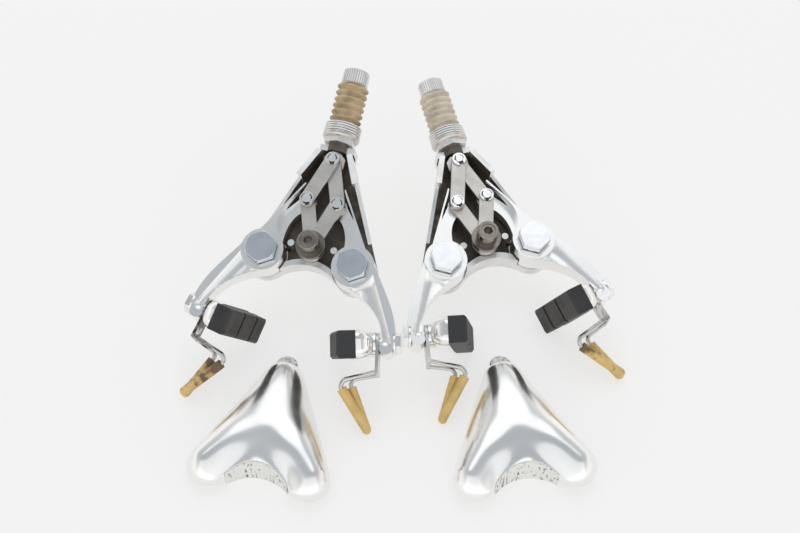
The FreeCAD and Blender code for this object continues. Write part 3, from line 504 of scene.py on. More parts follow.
def waved_rod_tree():
    """Rod along z whose radius waves along its length: folds, rings, or with one start a thread."""
    tree = new_tree("Waved rod", [
        ("Radius", "NodeSocketFloat"), ("Length", "NodeSocketFloat"), ("Depth", "NodeSocketFloat"),
        ("Pitch", "NodeSocketFloat"), ("Starts", "NodeSocketFloat"), ("Fullness", "NodeSocketFloat"),
        ("Segments", "NodeSocketInt"), ("Rings", "NodeSocketInt"), ("Material", "NodeSocketMaterial")])
    start = tree.nodes.new("NodeGroupInput").outputs
    rod = tree.nodes.new("GeometryNodeMeshCylinder")
    for socket, name in (("Vertices", "Segments"), ("Side Segments", "Rings"), ("Radius", "Radius"),
                         ("Depth", "Length")):
        tree.links.new(start[name], rod.inputs[socket])
    place = tree.nodes.new("GeometryNodeInputPosition")
    parts = tree.nodes.new("ShaderNodeSeparateXYZ")
    tree.links.new(place.outputs[0], parts.inputs[0])
    x, y, z = parts.outputs
    turn = maths(tree, "DIVIDE", maths(tree, "ARCTAN2", y, x), 2 * math.pi)
    phase = maths(tree, "ADD", maths(tree, "DIVIDE", z, start["Pitch"]),
                  maths(tree, "MULTIPLY", turn, start["Starts"]))
    wave = maths(tree, "COSINE", maths(tree, "MULTIPLY", phase, 2 * math.pi))
    share = maths(tree, "MULTIPLY", maths(tree, "ADD", wave, 1.0), 0.5)
    full = maths(tree, "POWER", share, start["Fullness"])
    cut = maths(tree, "MULTIPLY", maths(tree, "SUBTRACT", 1.0, full), start["Depth"])
    scale = maths(tree, "SUBTRACT", 1.0, maths(tree, "DIVIDE", cut, start["Radius"]))
    moved = tree.nodes.new("ShaderNodeCombineXYZ")
    for socket, value in zip(moved.inputs, (maths(tree, "MULTIPLY", x, scale),
                                            maths(tree, "MULTIPLY", y, scale), z)):
        tree.links.new(value, socket)
    shaped = tree.nodes.new("GeometryNodeSetPosition")
    tree.links.new(rod.outputs["Mesh"], shaped.inputs["Geometry"])
    tree.links.new(moved.outputs[0], shaped.inputs["Position"])
    close_tree(tree, shaped.outputs[0], start["Material"])
    return tree


def knurl_tree():
    """Straight ridges round a circle."""
    tree = new_tree("Knurl", [
        ("Count", "NodeSocketInt"), ("Radius", "NodeSocketFloat"), ("Length", "NodeSocketFloat"),
        ("Width", "NodeSocketFloat"), ("Material", "NodeSocketMaterial")])
    start = tree.nodes.new("NodeGroupInput").outputs
    circle = tree.nodes.new("GeometryNodeMeshCircle")
    tree.links.new(start["Count"], circle.inputs["Vertices"])
    tree.links.new(start["Radius"], circle.inputs["Radius"])
    ridge = tree.nodes.new("GeometryNodeMeshCylinder")
    ridge.inputs["Vertices"].default_value = KNURL_SIDES
    half = maths(tree, "MULTIPLY", start["Width"], 0.5)
    tree.links.new(half, ridge.inputs["Radius"])
    tree.links.new(start["Length"], ridge.inputs["Depth"])
    place = tree.nodes.new("GeometryNodeInputPosition")
    facing = tree.nodes.new("FunctionNodeAlignRotationToVector")
    facing.axis = "X"
    tree.links.new(place.outputs[0], facing.inputs["Vector"])
    ridges = tree.nodes.new("GeometryNodeInstanceOnPoints")
    tree.links.new(circle.outputs[0], ridges.inputs["Points"])
    tree.links.new(ridge.outputs["Mesh"], ridges.inputs["Instance"])
    tree.links.new(facing.outputs[0], ridges.inputs["Rotation"])
    close_tree(tree, ridges.outputs[0], start["Material"])
    return tree


def grown(tree, axes, **values):
    """Mesh of a tree with the given inputs, placed. Sizes go in as millimetres."""
    piece = new_object("grown", bpy.data.meshes.new("grown"))
    modifier = piece.modifiers.new("Tree", "NODES")
    modifier.node_group = tree
    for item in tree.interface.items_tree:
        if item.in_out == "INPUT":
            modifier[item.identifier] = values[item.name.lower()]
    bake(piece)
    mesh = piece.data
    bpy.data.objects.remove(piece)
    mesh.transform(axes)
    smooth(mesh)
    return mesh


def threaded(tree, axes, radius, length):
    """Rod with a fine thread."""
    sizes = bpy.context.scene.caliper_sizes
    return grown(tree, axes, radius=radius, length=length, depth=sizes.thread_depth / MM,
                 pitch=sizes.thread_pitch / MM, starts=1.0, fullness=THREAD_FULLNESS,
                 segments=THREAD_SEGMENTS, rings=int(length * THREAD_STEPS),
                 material=finishes()["bright_steel"])


def open_ended(mesh):
    """Takes the end discs off a grown rod, so that another piece can slide through it."""
    shape = bmesh.new()
    shape.from_mesh(mesh)
    discs = [face for face in shape.faces if len(face.verts) > 4]
    bmesh.ops.delete(shape, geom=discs, context="FACES")
    shape.to_mesh(mesh)
    shape.free()
    return mesh


# Materials

def new_material(name, base, roughness, metallic=0.0):
    material = bpy.data.materials.new(name + "_finish")
    FINISHES[name] = material
    material.use_nodes = True
    shader = material.node_tree.nodes["Principled BSDF"]
    shader.inputs["Base Color"].default_value = base
    shader.inputs["Roughness"].default_value = roughness
    shader.inputs["Metallic"].default_value = metallic
    return material


def noise(material, scale, detail, stretch=(1, 1, 1)):
    """Noise on the piece's own coordinates."""
    nodes, links = material.node_tree.nodes, material.node_tree.links
    where = nodes.new("ShaderNodeTexCoord")
    mapping = nodes.new("ShaderNodeMapping")
    mapping.inputs["Scale"].default_value = stretch
    grain = nodes.new("ShaderNodeTexNoise")
    grain.inputs["Scale"].default_value = scale
    grain.inputs["Detail"].default_value = detail
    links.new(where.outputs["Object"], mapping.inputs["Vector"])
    links.new(mapping.outputs[0], grain.inputs["Vector"])
    return grain.outputs["Fac"]


def ramp(owner, value, stops):
    """Colour ramp of (position, colour) stops on a value, in a material or the world."""
    node = owner.node_tree.nodes.new("ShaderNodeValToRGB")
    elements = node.color_ramp.elements
    while len(elements) < len(stops):
        elements.new(0.5)
    for element, (position, tone) in zip(elements, stops):
        element.position = position
        element.color = tone
    owner.node_tree.links.new(value, node.inputs[0])
    return node.outputs[0]


def stain(material, value, tone, dark, stops):
    """Colours a material from a darker tone to its own, between two stops on a value."""
    start, end = stops
    into(material, "Base Color", ramp(material, value, ((start, shade(tone, dark)), (end, tuple(tone)))))


def spread(material, value, low, high):
    """Maps a noise value to a range."""
    start, end = GRAIN_RANGE
    node = material.node_tree.nodes.new("ShaderNodeMapRange")
    for name, number in (("From Min", start), ("From Max", end), ("To Min", low), ("To Max", high)):
        node.inputs[name].default_value = number
    material.node_tree.links.new(value, node.inputs["Value"])
    return node.outputs[0]


def into(material, socket, value):
    shader = material.node_tree.nodes["Principled BSDF"]
    material.node_tree.links.new(value, shader.inputs[socket])


def bump(material, height, strength, distance):
    node = material.node_tree.nodes.new("ShaderNodeBump")
    node.inputs["Strength"].default_value = strength
    node.inputs["Distance"].default_value = distance
    material.node_tree.links.new(height, node.inputs["Height"])
    into(material, "Normal", node.outputs[0])


def shade(tone, factor):
    return (tone[0] * factor, tone[1] * factor, tone[2] * factor, 1.0)


def metal(name, tone, roughness, wear, dark, scale=METAL_SCALE):
    """Metal with a little uneven polish and faint stains."""
    material = new_material(name, tone, roughness, metallic=1.0)
    grain = noise(material, scale, GRAIN_DETAIL)
    into(material, "Roughness", spread(material, grain, roughness - wear, roughness + wear))
    stain(material, noise(material, scale * METAL_STAIN_SHARE, STAIN_DETAIL), tone, dark, METAL_STAINS)
    return material


def rubber(name, tone, dark, roughness=0.62):
    """Aged rubber, stained in patches."""
    material = new_material(name, tone, roughness)
    stain(material, noise(material, RUBBER_SCALE, STAIN_DETAIL), tone, dark, RUBBER_STAINS)
    bump(material, noise(material, RUBBER_GRAIN, RUBBER_GRAIN_DETAIL), RUBBER_BUMP, RUBBER_BUMP_DEPTH)
    return material


def casting(name, tone):
    """Raw casting with dark specks and a coarse skin."""
    material = new_material(name, tone, roughness=0.6, metallic=0.25)
    specks = noise(material, CAST_SCALE, STAIN_DETAIL, CAST_STRETCH)
    stain(material, specks, tone, CAST_DARK, CAST_STAINS)
    bump(material, noise(material, CAST_SCALE, GRAIN_DETAIL), CAST_BUMP, CAST_BUMP_DEPTH)
    return material


def worn_patch(material, tone):
    """Mixes in a tone where the piece's worn attribute is set, with an uneven edge."""
    nodes, links = material.node_tree.nodes, material.node_tree.links
    shader = nodes["Principled BSDF"]
    worn = nodes.new("ShaderNodeAttribute")
    worn.attribute_name = WORN
    uneven = maths(material.node_tree, "ADD", worn.outputs["Fac"],
                   spread(material, noise(material, WORN_SCALE, GRAIN_DETAIL), -WORN_UNEVEN, WORN_UNEVEN))
    mix = nodes.new("ShaderNodeMixRGB")
    links.new(spread(material, uneven, 0.0, 1.0), mix.inputs["Fac"])
    links.new(shader.inputs["Base Color"].links[0].from_socket, mix.inputs["Color1"])
    mix.inputs["Color2"].default_value = tone
    into(material, "Base Color", mix.outputs[0])
    return material


def finishes():
    """Every material of the object, made once."""
    tones = bpy.context.scene.caliper_finishes
    if not FINISHES:
        metal("polished_aluminium", tones.polished, roughness=0.24, wear=0.03, dark=0.97, scale=60.0)
        metal("cover_polish", tones.polished, roughness=0.21, wear=0.05, dark=0.93, scale=60.0)
        metal("satin_aluminium", tones.satin, roughness=0.38, wear=0.08, dark=0.82)
        metal("holder_polish", tones.polished, roughness=0.1, wear=0.03, dark=0.9)
        # Painted shade in the hollows under the links, on the collar necks and on the walls that face the
        # hollows
        metal("recess_shade_aluminium", tones.recess_shade, roughness=0.6, wear=0.1, dark=0.6)
        metal("wall_shade_aluminium", tones.wall_shade, roughness=0.42, wear=0.08, dark=0.6)
        metal("link_steel", tones.link, roughness=0.34, wear=0.06, dark=0.85)
        metal("bright_steel", tones.bright, roughness=0.18, wear=0.05, dark=0.88)
        metal("dark_steel", tones.dark, roughness=0.22, wear=0.06, dark=0.7)
        metal("pivot_steel", tones.pivot, roughness=0.2, wear=0.04, dark=0.93)
        metal("pale_pivot_steel", tones.pivot_pale, roughness=0.2, wear=0.04, dark=0.95)
        worn_patch(metal("guide_steel", tones.guide, roughness=0.28, wear=0.06, dark=0.8), tones.rust)
        # Painted shade: near black fill for the gaps round the clips, the collar grooves and the ring under
        # the caps
        new_material("gap", tones.gap, roughness=0.7)
        casting("raw_casting", tones.cast)
        metal("lug_casting", shade(tones.cast, 0.8), roughness=0.5, wear=0.08, dark=0.45, scale=1800.0)
        metal("collar_steel", shade(tones.bright, 0.85), roughness=0.3, wear=0.06, dark=0.8)
        metal("cap_aluminium", tones.polished, roughness=0.42, wear=0.06, dark=0.9)
        rubber("gaiter_rubber", tones.gaiter, dark=0.6)
        rubber("pale_gaiter_rubber", tones.gaiter_pale, dark=0.75)
        worn_patch(rubber("amber_rubber", tones.amber, dark=0.82, roughness=0.5), tones.scuffed)
        rubber("pad_rubber", tones.pad, dark=0.7, roughness=0.5)
        rubber("worn_pad", tones.worn, dark=0.6, roughness=0.7)
    return FINISHES


# Operators

class CALIPERS_OT_bodies(bpy.types.Operator):
    """Satin bodies of both calipers"""

    bl_idname = "calipers.bodies"
    bl_label = "Bodies"

    def execute(self, context):
        sizes = context.scene.caliper_sizes
        made = finishes()
        for name in CALIPERS:
            body = dressed(name + "_body", sizes.edge, made["satin_aluminium"], made["recess_shade_aluminium"],
                           made["wall_shade_aluminium"])
            self.paint_shade(body, caliper_axes(name).inverted())
        return {"FINISHED"}

    def paint_shade(self, body, local):
        """Painted shade on the floor of the hollow under the links and on the walls that face it."""
        for face in body.data.polygons:
            x, y, z = local @ face.center
            facing = (local.to_3x3() @ face.normal).normalized()
            inward = Vector((-x, HEART_Y - y, 0)).normalized()
            if facing.z > SHADE_FACING and z < PLATE_Z + SHADE_DEPTH and y > SHADE_Y:
                face.material_index = 1
            elif abs(facing.z) < WALL_FACING and facing.dot(inward) > WALL_FACING and y > 0:
                face.material_index = 2


class CALIPERS_OT_arms(bpy.types.Operator):
    """Polished arms"""

    bl_idname = "calipers.arms"
    bl_label = "Arms"

    def execute(self, context):
        sizes = context.scene.caliper_sizes
        for name in CALIPERS:
            for side in SIDES:
                arm = dressed(f"{name}_{side}_arm", sizes.polish_edge, finishes()["polished_aluminium"])
        return {"FINISHED"}


class CALIPERS_OT_linkage(bpy.types.Operator):
    """Links, pins, clips, blocks and springs"""

    bl_idname = "calipers.linkage"
    bl_label = "Linkage"

    def execute(self, context):
        edge = context.scene.caliper_sizes.edge
        for name in CALIPERS:
            for side in SIDES:
                for level in ("upper", "lower"):
                    link = dressed(f"{name}_{level}_{side}_link", edge, finishes()["link_steel"])
                pin = dressed(f"{name}_{side}_link_pin", edge / 2, finishes()["bright_steel"])
                self.clip_gap_shade(name, side, f"{name}_{side}_arm", PINS[side], PIN_R)
            self.clip_gap_shade(name, "top", "frame", TOP_PIN, TOP_PIN_R)
            dressed(name + "_top_block", edge, finishes()["link_steel"])
            dressed(name + "_return_springs", 0, finishes()["dark_steel"])
            for piece in ("anchor_pin", "anchor_bolt"):
                dressed(f"{name}_{piece}", edge, finishes()["dark_steel"])
        dressed("top_pins", edge / 2, finishes()["bright_steel"])
        return {"FINISHED"}

    def clip_gap_shade(self, name, side, body, centre, radius):
        """Painted shade: dark arcs in the gaps between a pin and the ring of its clip."""
        axes = caliper_axes(name) @ Matrix.Translation((*centre, CLIP_TOP_Z))
        parts = []
        outer = radius + CLIP_GAP
        for i in range(CLIP_GAPS):
            start = 360 / CLIP_GAPS * i
            angles = np.radians(np.linspace(start, start + CLIP_SWEEP, CLIP_GAP_POINTS))
            outline = [(outer * math.cos(a), outer * math.sin(a)) for a in angles]
            outline += [(radius * math.cos(a), radius * math.sin(a)) for a in angles[::-1]]
            parts.append((prism("gap", outline, *CLIP_GAP_Z, axes), finishes()["gap"]))
        gaps = joined(f"{name}_{side}_clip_gap_shade", parts)
        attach(gaps, body)


class CALIPERS_OT_bolts(bpy.types.Operator):
    """Pivot bolts, and mounting bolts with their threads"""

    bl_idname = "calipers.bolts"
    bl_label = "Bolts"

    def execute(self, context):
        sizes = context.scene.caliper_sizes
        made = finishes()
        heads = dressed("pivot_bolts", sizes.edge, made["pivot_steel"], made["pale_pivot_steel"])
        for face in heads.data.polygons:
            face.material_index = 1 if face.center.x > 0 else 0
        tree = waved_rod_tree()
        for name in CALIPERS:
            low = -MOUNT_L[name]
            shank = -MOUNT_FLANGE_T
            thread = threaded(tree, along_mounting_bolt(name, (low + shank) / 2), MOUNT_R, shank - low)
            head = turned(name + "_mounting_head", [
                (AXIS_R, shank), (MOUNT_FLANGE_R, shank), (MOUNT_FLANGE_R, -MOUNT_GAP),
                (MOUNT_R, -MOUNT_GAP), (MOUNT_R, MOUNT_HEAD), (AXIS_R, MOUNT_HEAD)],
                along_mounting_bolt(name, 0), MOUNT_SEGMENTS)
            bolt = joined(name + "_mounting_bolt_finish", [(thread, made["bright_steel"]),
                                                           (head, made["bright_steel"])])
            carried(bolt, name + "_mounting_bolt")
        return {"FINISHED"}


class CALIPERS_OT_adjusters(bpy.types.Operator):
    """Collars, threaded barrels, rubber gaiters and knurled finger nuts"""

    bl_idname = "calipers.adjusters"
    bl_label = "Adjusters"

    def collar(self, name, sizes, rod):
        made = finishes()
        steel = made["collar_steel"]
        axes = along_adjuster(name, 0)
        low = COLLAR_Y + COLLAR_PLAIN
        pitch = (COLLAR_TOP_Y - low) / sizes.rings
        rings = grown(rod, along_adjuster(name, (COLLAR_TOP_Y + low) / 2), radius=COLLAR_R,
                      length=COLLAR_TOP_Y - low, depth=sizes.ring_depth / MM, pitch=pitch, starts=0.0,
                      fullness=RING_FULLNESS, segments=ROUND_SEGMENTS, rings=sizes.rings * RING_STEPS,
                      material=steel)
        foot = [(COLLAR_R - inset, COLLAR_Y + height) for inset, height in COLLAR_FOOT]
        band = turned(name + "_band", [(BORE_R, COLLAR_Y), *foot, (COLLAR_R, low), (BORE_R, low)], axes)
        half_side = math.pi / HEX_SIDES
        corner = HEX_AF / 2 / math.cos(half_side)
        bore = BORE_R / math.cos(half_side)
        nut = turned(name + "_nut", [
            (bore, HEX_Y), (corner, HEX_Y), (corner, HEX_Y + HEX_T), (bore, HEX_Y + HEX_T)],
            axes @ Matrix.Rotation(half_side, 4, "Z"), HEX_SIDES)
        # The grooves are filled up to inner_r with the dark gap-shade tone, which is painted shade in the
        # grooves
        inner_r = COLLAR_R - sizes.ring_depth / MM * GROOVE_FILL
        grooves = turned(name + "_grooves", [
            (BORE_R, low + LAP), (inner_r, low + LAP), (inner_r, COLLAR_TOP_Y - LAP),
            (BORE_R, COLLAR_TOP_Y - LAP)], axes)
        # The neck takes the dark recess-shade tone, which is painted shade under the collar
        neck = turned(name + "_neck", [
            (BORE_R, NECK_Y), (NECK_R, NECK_Y), (NECK_R, COLLAR_Y + LAP), (BORE_R, COLLAR_Y + LAP)], axes)
        collar = joined(name + "_guide_collar_finish", [
            (open_ended(rings), steel), (band, made["link_steel"]), (grooves, made["gap"]),
            (nut, made["satin_aluminium"]), (neck, made["recess_shade_aluminium"])])
        carried(collar, name + "_guide_collar")

    def gaiter(self, name, sizes, rod):
        rubber_name = "gaiter_rubber" if name == "front" else "pale_gaiter_rubber"
        middle = along_adjuster(name, COLLAR_TOP_Y + GAITER_L / 2)
        folds = grown(rod, middle, radius=GAITER_R, length=GAITER_L,
                      depth=sizes.fold_depth / MM, pitch=GAITER_L / sizes.folds, starts=0.0,
                      fullness=FOLD_FULLNESS, segments=GAITER_SEGMENTS, rings=sizes.folds * FOLD_STEPS,
                      material=finishes()[rubber_name])
        gaiter = joined(name + "_bellows_finish", [(folds, finishes()[rubber_name])])
        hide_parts(name + "_bellows")
        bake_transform(gaiter)

    def barrel(self, name, rod):
        low, high = BARREL_Y
        steel = finishes()["bright_steel"]
        thread = threaded(rod, along_adjuster(name, (low + high) / 2), BARREL_R, high - low)
        foot = COLLAR_TOP_Y + GAITER_L
        # Dark ring between the gaiter and the cap, which is painted shade
        ring = turned(name + "_shade_ring", [
            (BARREL_R, foot), (CAP_SHADE_R, foot), (CAP_SHADE_R, CAP_Y), (BARREL_R, CAP_Y)],
            along_adjuster(name, 0))
        barrel = joined(name + "_adjuster_barrel_finish", [(thread, steel), (ring, finishes()["gap"])])
        carried(barrel, name + "_adjuster_barrel")

    def cap(self, name, sizes, knurl):
        top = CAP_Y + CAP_T
        core_r = CAP_R - KNURL_DEPTH
        low, high = CAP_Y + CAP_EDGE, top - CAP_EDGE
        aluminium = finishes()["cap_aluminium"]
        knurl_shade = finishes()["link_steel"]
        core = turned(name + "_cap_core", [
            (BORE_R, CAP_Y), (core_r - CAP_EDGE, CAP_Y), (core_r, low), (core_r, high),
            (core_r - CAP_EDGE, top), (CAP_SOCKET_R, top), (CAP_SOCKET_R, top - CAP_SOCKET_L),
            (BORE_R, top - CAP_SOCKET_L)], along_adjuster(name, 0))
        # Darker floor between the knurls, which is painted shade
        shadow = turned(name + "_cap_grooves", [
            (core_r, low), (core_r + KNURL_FLOOR, low), (core_r + KNURL_FLOOR, high), (core_r, high)],
            along_adjuster(name, 0))
        width = KNURL_SHARE * 2 * math.pi * CAP_R / sizes.knurls
        ridges = grown(knurl, along_adjuster(name, CAP_Y + CAP_T / 2), count=sizes.knurls,
                       radius=CAP_R - width / 2, length=CAP_T - 2 * CAP_EDGE, width=width,
                       material=aluminium)
        cap = joined(name + "_adjuster_cap_finish", [
            (core, aluminium), (shadow, knurl_shade), (ridges, aluminium)])
        carried(cap, name + "_adjuster_cap")

    def execute(self, context):
        sizes = context.scene.caliper_sizes
        rod = waved_rod_tree()
        knurl = knurl_tree()
        for name in CALIPERS:
            self.collar(name, sizes, rod)
            self.gaiter(name, sizes, rod)
            self.barrel(name, rod)
            self.cap(name, sizes, knurl)
        return {"FINISHED"}


class CALIPERS_OT_pads(bpy.types.Operator):
    """Brake pads in their polished holders, with their nuts"""

    bl_idname = "calipers.pads"
    bl_label = "Pads"

    def execute(self, context):
        sizes = context.scene.caliper_sizes
        made = finishes()
        for name in CALIPERS:
            for side in SIDES:
                start = f"{name}_{side}_"
                holder = dressed(start + "pad_holder", sizes.polish_edge, made["holder_polish"])
                dressed(start + "pad_nut", sizes.edge, made["bright_steel"])
                pad = dressed(start + "brake_pad", sizes.edge, made["pad_rubber"], made["worn_pad"])
                self.wear(pad, start)
        return {"FINISHED"}

    def wear(self, pad, start):
        """Marks the braking face, which looks away from the holder."""
        low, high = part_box(start + "brake_pad")
        back_low, back_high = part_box(start + "pad_holder")
        away = ((low + high) - (back_low + back_high)).normalized()
        for face in pad.data.polygons:
            face.material_index = 1 if face.normal.dot(away) > PAD_FACING else 0


class CALIPERS_OT_guides(bpy.types.Operator):
    """Wheel guides and their rubber sleeves"""

    bl_idname = "calipers.guides"
    bl_label = "Wheel guides"

    def execute(self, context):
        sizes = context.scene.caliper_sizes
        for name in CALIPERS:
            for side in SIDES:
                start = f"{name}_{side}_"
                guide = dressed(start + "wheel_guide", sizes.edge, finishes()["guide_steel"])
                sleeve = dressed(start + "guide_sleeve", sizes.sleeve_edge, finishes()["amber_rubber"])
                if (name, side) in PULLED:
                    self.pull(guide, sleeve, caliper_axes(name))
                local = caliper_axes(name).inverted()
                self.wear(guide, local, BROWNED_SIDE, BROWNED[(name, side)])
                self.wear(sleeve, local, SCUFFED_SIDE, SCUFFED[(name, side)])
        return {"FINISHED"}

    def pull(self, guide, sleeve, axes):
        """Draws the two legs of a sleeve, and the prongs above it, towards each other."""
        local = axes.inverted()
        places = np.array([local @ vertex.co for vertex in sleeve.data.vertices])
        tip, top = places[:, 1].min(), places[:, 1].max()
        share = (places[:, 1] - tip) / (top - tip)
        line = np.polyfit(share, places[:, [0, 2]], 1)
        ends = places[share > SLEEVE_END][:, [0, 2]]
        across = np.linalg.svd(ends - ends.mean(axis=0))[2][0]
        offsets = (ends - ends.mean(axis=0)) @ across
        half = (offsets[offsets > 0].mean() - offsets[offsets < 0].mean()) / 2
        for piece in (sleeve, guide):
            for vertex in piece.data.vertices:
                place = local @ vertex.co
                along = (place.y - tip) / (top - tip)
                near = max(0.0, min(along, 1.0, (PULL_END - along) / (PULL_END - 1)))
                middle = line[0] * min(along, 1.0) + line[1]
                side = math.tanh((np.array((place.x, place.z)) - middle) @ across / PULL_BLEND)
                move = -across * PULL * near * half * side
                vertex.co = axes @ (place + Vector((move[0], 0, move[1])))

    def wear(self, piece, local, towards, amount):
        """Marks a piece as more worn towards one of its sides."""
        places = [(local @ vertex.co).dot(towards) for vertex in piece.data.vertices]
        low, high = min(places), max(places)
        worn = piece.data.attributes.new(WORN, "FLOAT", "POINT")
        worn.data.foreach_set("value", [amount * (place - low) / (high - low) for place in places])


class CALIPERS_OT_covers(bpy.types.Operator):
    """Polished covers, inflated over their outline"""

    bl_idname = "calipers.covers"
    bl_label = "Covers"

    def execute(self, context):
        sizes = context.scene.caliper_sizes
        made = finishes()
        for name in CALIPERS:
            shell = self.shell(name, sizes)
            lip = self.lip(name, sizes.cover_wall / MM)
            lug = turned(name + "_lug", [
                (AXIS_R, -COVER_RIM_Z), (LUG_R, -COVER_RIM_Z), (LUG_R, LUG_TOP - LUG_EDGE),
                (LUG_R - LUG_EDGE, LUG_TOP), (AXIS_R, LUG_TOP)], self.lug_axes(name), LUG_SEGMENTS)
            cover = joined(name + "_cover_finish", [
                (shell, made["cover_polish"]), (lip, made["raw_casting"]), (lug, made["lug_casting"])])
            carried(cover, name + "_cover")
        return {"FINISHED"}

    def lug_axes(self, name):
        y = COVER_CROWN_Y + COVER_CROWN_R + LUG_OUT - LUG_R
        return cover_axes(name) @ Matrix.Translation((0, y, 0))

    def arch_radius(self):
        """The arch touches both rounded corners."""
        x = COVER_HALF - COVER_CORNER_R
        rise = COVER_ARCH_Y - COVER_CORNER_Y
        return (x ** 2 + rise ** 2 - COVER_CORNER_R ** 2) / (2 * (COVER_CORNER_R + rise))

    def rim(self, x, y, wall):
        """Height of the edge, which rises in the middle of the arch."""
        rise = math.exp(-(x / LIP_HALF) ** 2 - ((y - COVER_ARCH_Y) / LIP_HALF) ** 2)
        return wall + ARCH_RISE * rise

    def lip(self, name, wall):
        """Rough upright lip under the arch, a little proud of the shell."""
        radius = self.arch_radius()
        middle = COVER_ARCH_Y - radius
        shape = bmesh.new()
        rows = []
        for i in range(LIP_STEPS + 1):
            x = -LIP_HALF + 2 * LIP_HALF * i / LIP_STEPS
            y = middle + math.sqrt(radius ** 2 - x ** 2) - LIP_PROUD
            top = self.rim(x, COVER_ARCH_Y, wall) - LIP_UNDER
            corners = ((x, y, -COVER_RIM_Z), (x, y, top), (x, y + LIP_T, top), (x, y + LIP_T, -COVER_RIM_Z))
            rows.append([shape.verts.new(corner) for corner in corners])
        for first, second in zip(rows, rows[1:]):
            for k in range(4):
                m = (k + 1) % 4
                shape.faces.new((first[k], first[m], second[m], second[k]))
        shape.faces.new(rows[0])
        shape.faces.new(rows[-1])
        mesh = from_bmesh(shape, name + "_lip")
        mesh.transform(cover_axes(name))
        smooth(mesh)
        return mesh

    def outline(self, count):
        """Points evenly round the cover: two corners and a crown, joined by straight sides and the arch."""
        corner = Vector((COVER_HALF - COVER_CORNER_R, COVER_CORNER_Y))
        crown = Vector((0, COVER_CROWN_Y))
        radius = self.arch_radius()
        low = Vector((0, COVER_ARCH_Y - radius))
        lean = math.atan2(corner.x, crown.y - corner.y)
        foot = math.atan2(low.y - corner.y, low.x - corner.x)
        half = math.atan2(corner.x, corner.y - low.y)
        path = self.round(low, radius, math.pi / 2, math.pi / 2 - half)
        path += self.round(corner, COVER_CORNER_R, foot, lean)
        path += self.round(crown, COVER_CROWN_R, lean, math.pi / 2)
        path += [Vector((-point.x, point.y)) for point in reversed(path)]
        return self.even(path, count)

    def round(self, centre, radius, start, end):
        angles = [start + (end - start) * i / ARC_STEPS for i in range(ARC_STEPS + 1)]
        return [centre + radius * Vector((math.cos(angle), math.sin(angle))) for angle in angles]

    def even(self, path, count):
        points = np.array([tuple(point) for point in path] + [tuple(path[0])])
        length = np.concatenate([[0], np.cumsum(np.linalg.norm(np.diff(points, axis=0), axis=1))])
        places = np.linspace(0, length[-1], count, endpoint=False)
        return np.stack([np.interp(places, length, points[:, axis]) for axis in (0, 1)], axis=1)

    def film(self, points, triangles, free):
        """Height of a film stretched over the outline and blown up evenly."""
        total = len(points)
        stiff = np.zeros((total, total))
        load = np.zeros(total)
        for triangle in triangles:
            corners = points[list(triangle)]
            edges = np.roll(corners, -1, axis=0) - np.roll(corners, 1, axis=0)
            area = abs(edges[0][0] * edges[1][1] - edges[0][1] * edges[1][0]) / 2
            local = edges @ edges.T / (4 * area)
            stiff[np.ix_(triangle, triangle)] += local
            load[list(triangle)] += area / 3
        height = np.zeros(total)
        height[free] = np.linalg.solve(stiff[np.ix_(free, free)], load[free])
        return height / height.max()

    def lifted(self, film, points, rim, rings, toward):
        """Raises the ridge that runs from the middle out towards the crown or a corner."""
        outward = points - np.array((0, COVER_CENTRE_Y))
        along = outward @ toward
        spoke = [i * len(rim) + int(np.argmax(rim @ toward)) for i in range(rings)][::-1]
        ridge = np.interp(along, along[spoke], film[spoke]) / film[-1]
        reach = np.linalg.norm(outward, axis=1)
        facing = along / np.maximum(reach, 1e-6)
        share = np.clip((facing - RIDGE_SPREAD) / (1 - RIDGE_SPREAD), 0, 1)
        share = share ** 2 * (3 - 2 * share) * (1 - np.exp(-(reach / RIDGE_START) ** 2))
        lift = 1 + share * (np.clip(ridge, RIDGE_LEAST, 1) ** -RIDGE_LIFT - 1)
        return np.clip(film * lift, 0, 1)

    def power(self, points, fullness):
        """Power of the film's height: full on the flanks, hollow before the arch."""
        across, inwards = ARCH_REACH
        near = np.exp(-(points[:, 0] / across) ** 2 - ((points[:, 1] - COVER_ARCH_Y) / inwards) ** 2)
        return fullness + (ARCH_FLARE - fullness) * near

    def shell(self, name, sizes):
        rings = SHELL_RINGS
        rim = self.outline(SHELL_POINTS)
        count = len(rim)
        centre = np.array((0, COVER_CENTRE_Y))
        shares = [1 - (i / rings) ** SHELL_CROWDING for i in range(rings)]
        points = np.concatenate([centre + (rim - centre) * share for share in shares] + [[centre]])
        faces = []
        for i in range(rings - 1):
            for j in range(count):
                k = (j + 1) % count
                faces.append((i * count + j, i * count + k, (i + 1) * count + k, (i + 1) * count + j))
        last = (rings - 1) * count
        faces += [(last + j, last + (j + 1) % count, len(points) - 1) for j in range(count)]
        triangles = [(f[0], f[1], f[2]) for f in faces] + [(f[0], f[2], f[3]) for f in faces if len(f) == 4]
        free = np.arange(count, len(points))
        film = self.film(points, triangles, free)
        wall = sizes.cover_wall / MM
        edge = np.array([self.rim(x, y, wall) for x, y in points])
        for toward in (Vector((0, 1)), Vector((1, CORNER_FALL)), Vector((-1, CORNER_FALL))):
            film = self.lifted(film, points, rim, rings, np.array(toward.normalized()))
        heights = edge + (COVER_DEPTH - edge) * film ** self.power(points, sizes.cover_fullness)
        shape = bmesh.new()
        verts = [shape.verts.new((x, y, z)) for (x, y), z in zip(points, heights)]
        foot = [shape.verts.new((x, y, 0)) for x, y in rim]
        for face in faces:
            shape.faces.new([verts[i] for i in face])
        for j in range(count):
            k = (j + 1) % count
            shape.faces.new((foot[j], foot[k], verts[k], verts[j]))
        mesh = from_bmesh(shape, name + "_shell")
        mesh.transform(cover_axes(name))
        piece = new_object("shell", mesh)
        wall_thickness = piece.modifiers.new("Wall", "SOLIDIFY")
        wall_thickness.thickness = COVER_WALL * MM
        wall_thickness.offset = -1
        bake(piece)
        mesh = piece.data
        bpy.data.objects.remove(piece)
        smooth(mesh, SHELL_ANGLE)
        return mesh


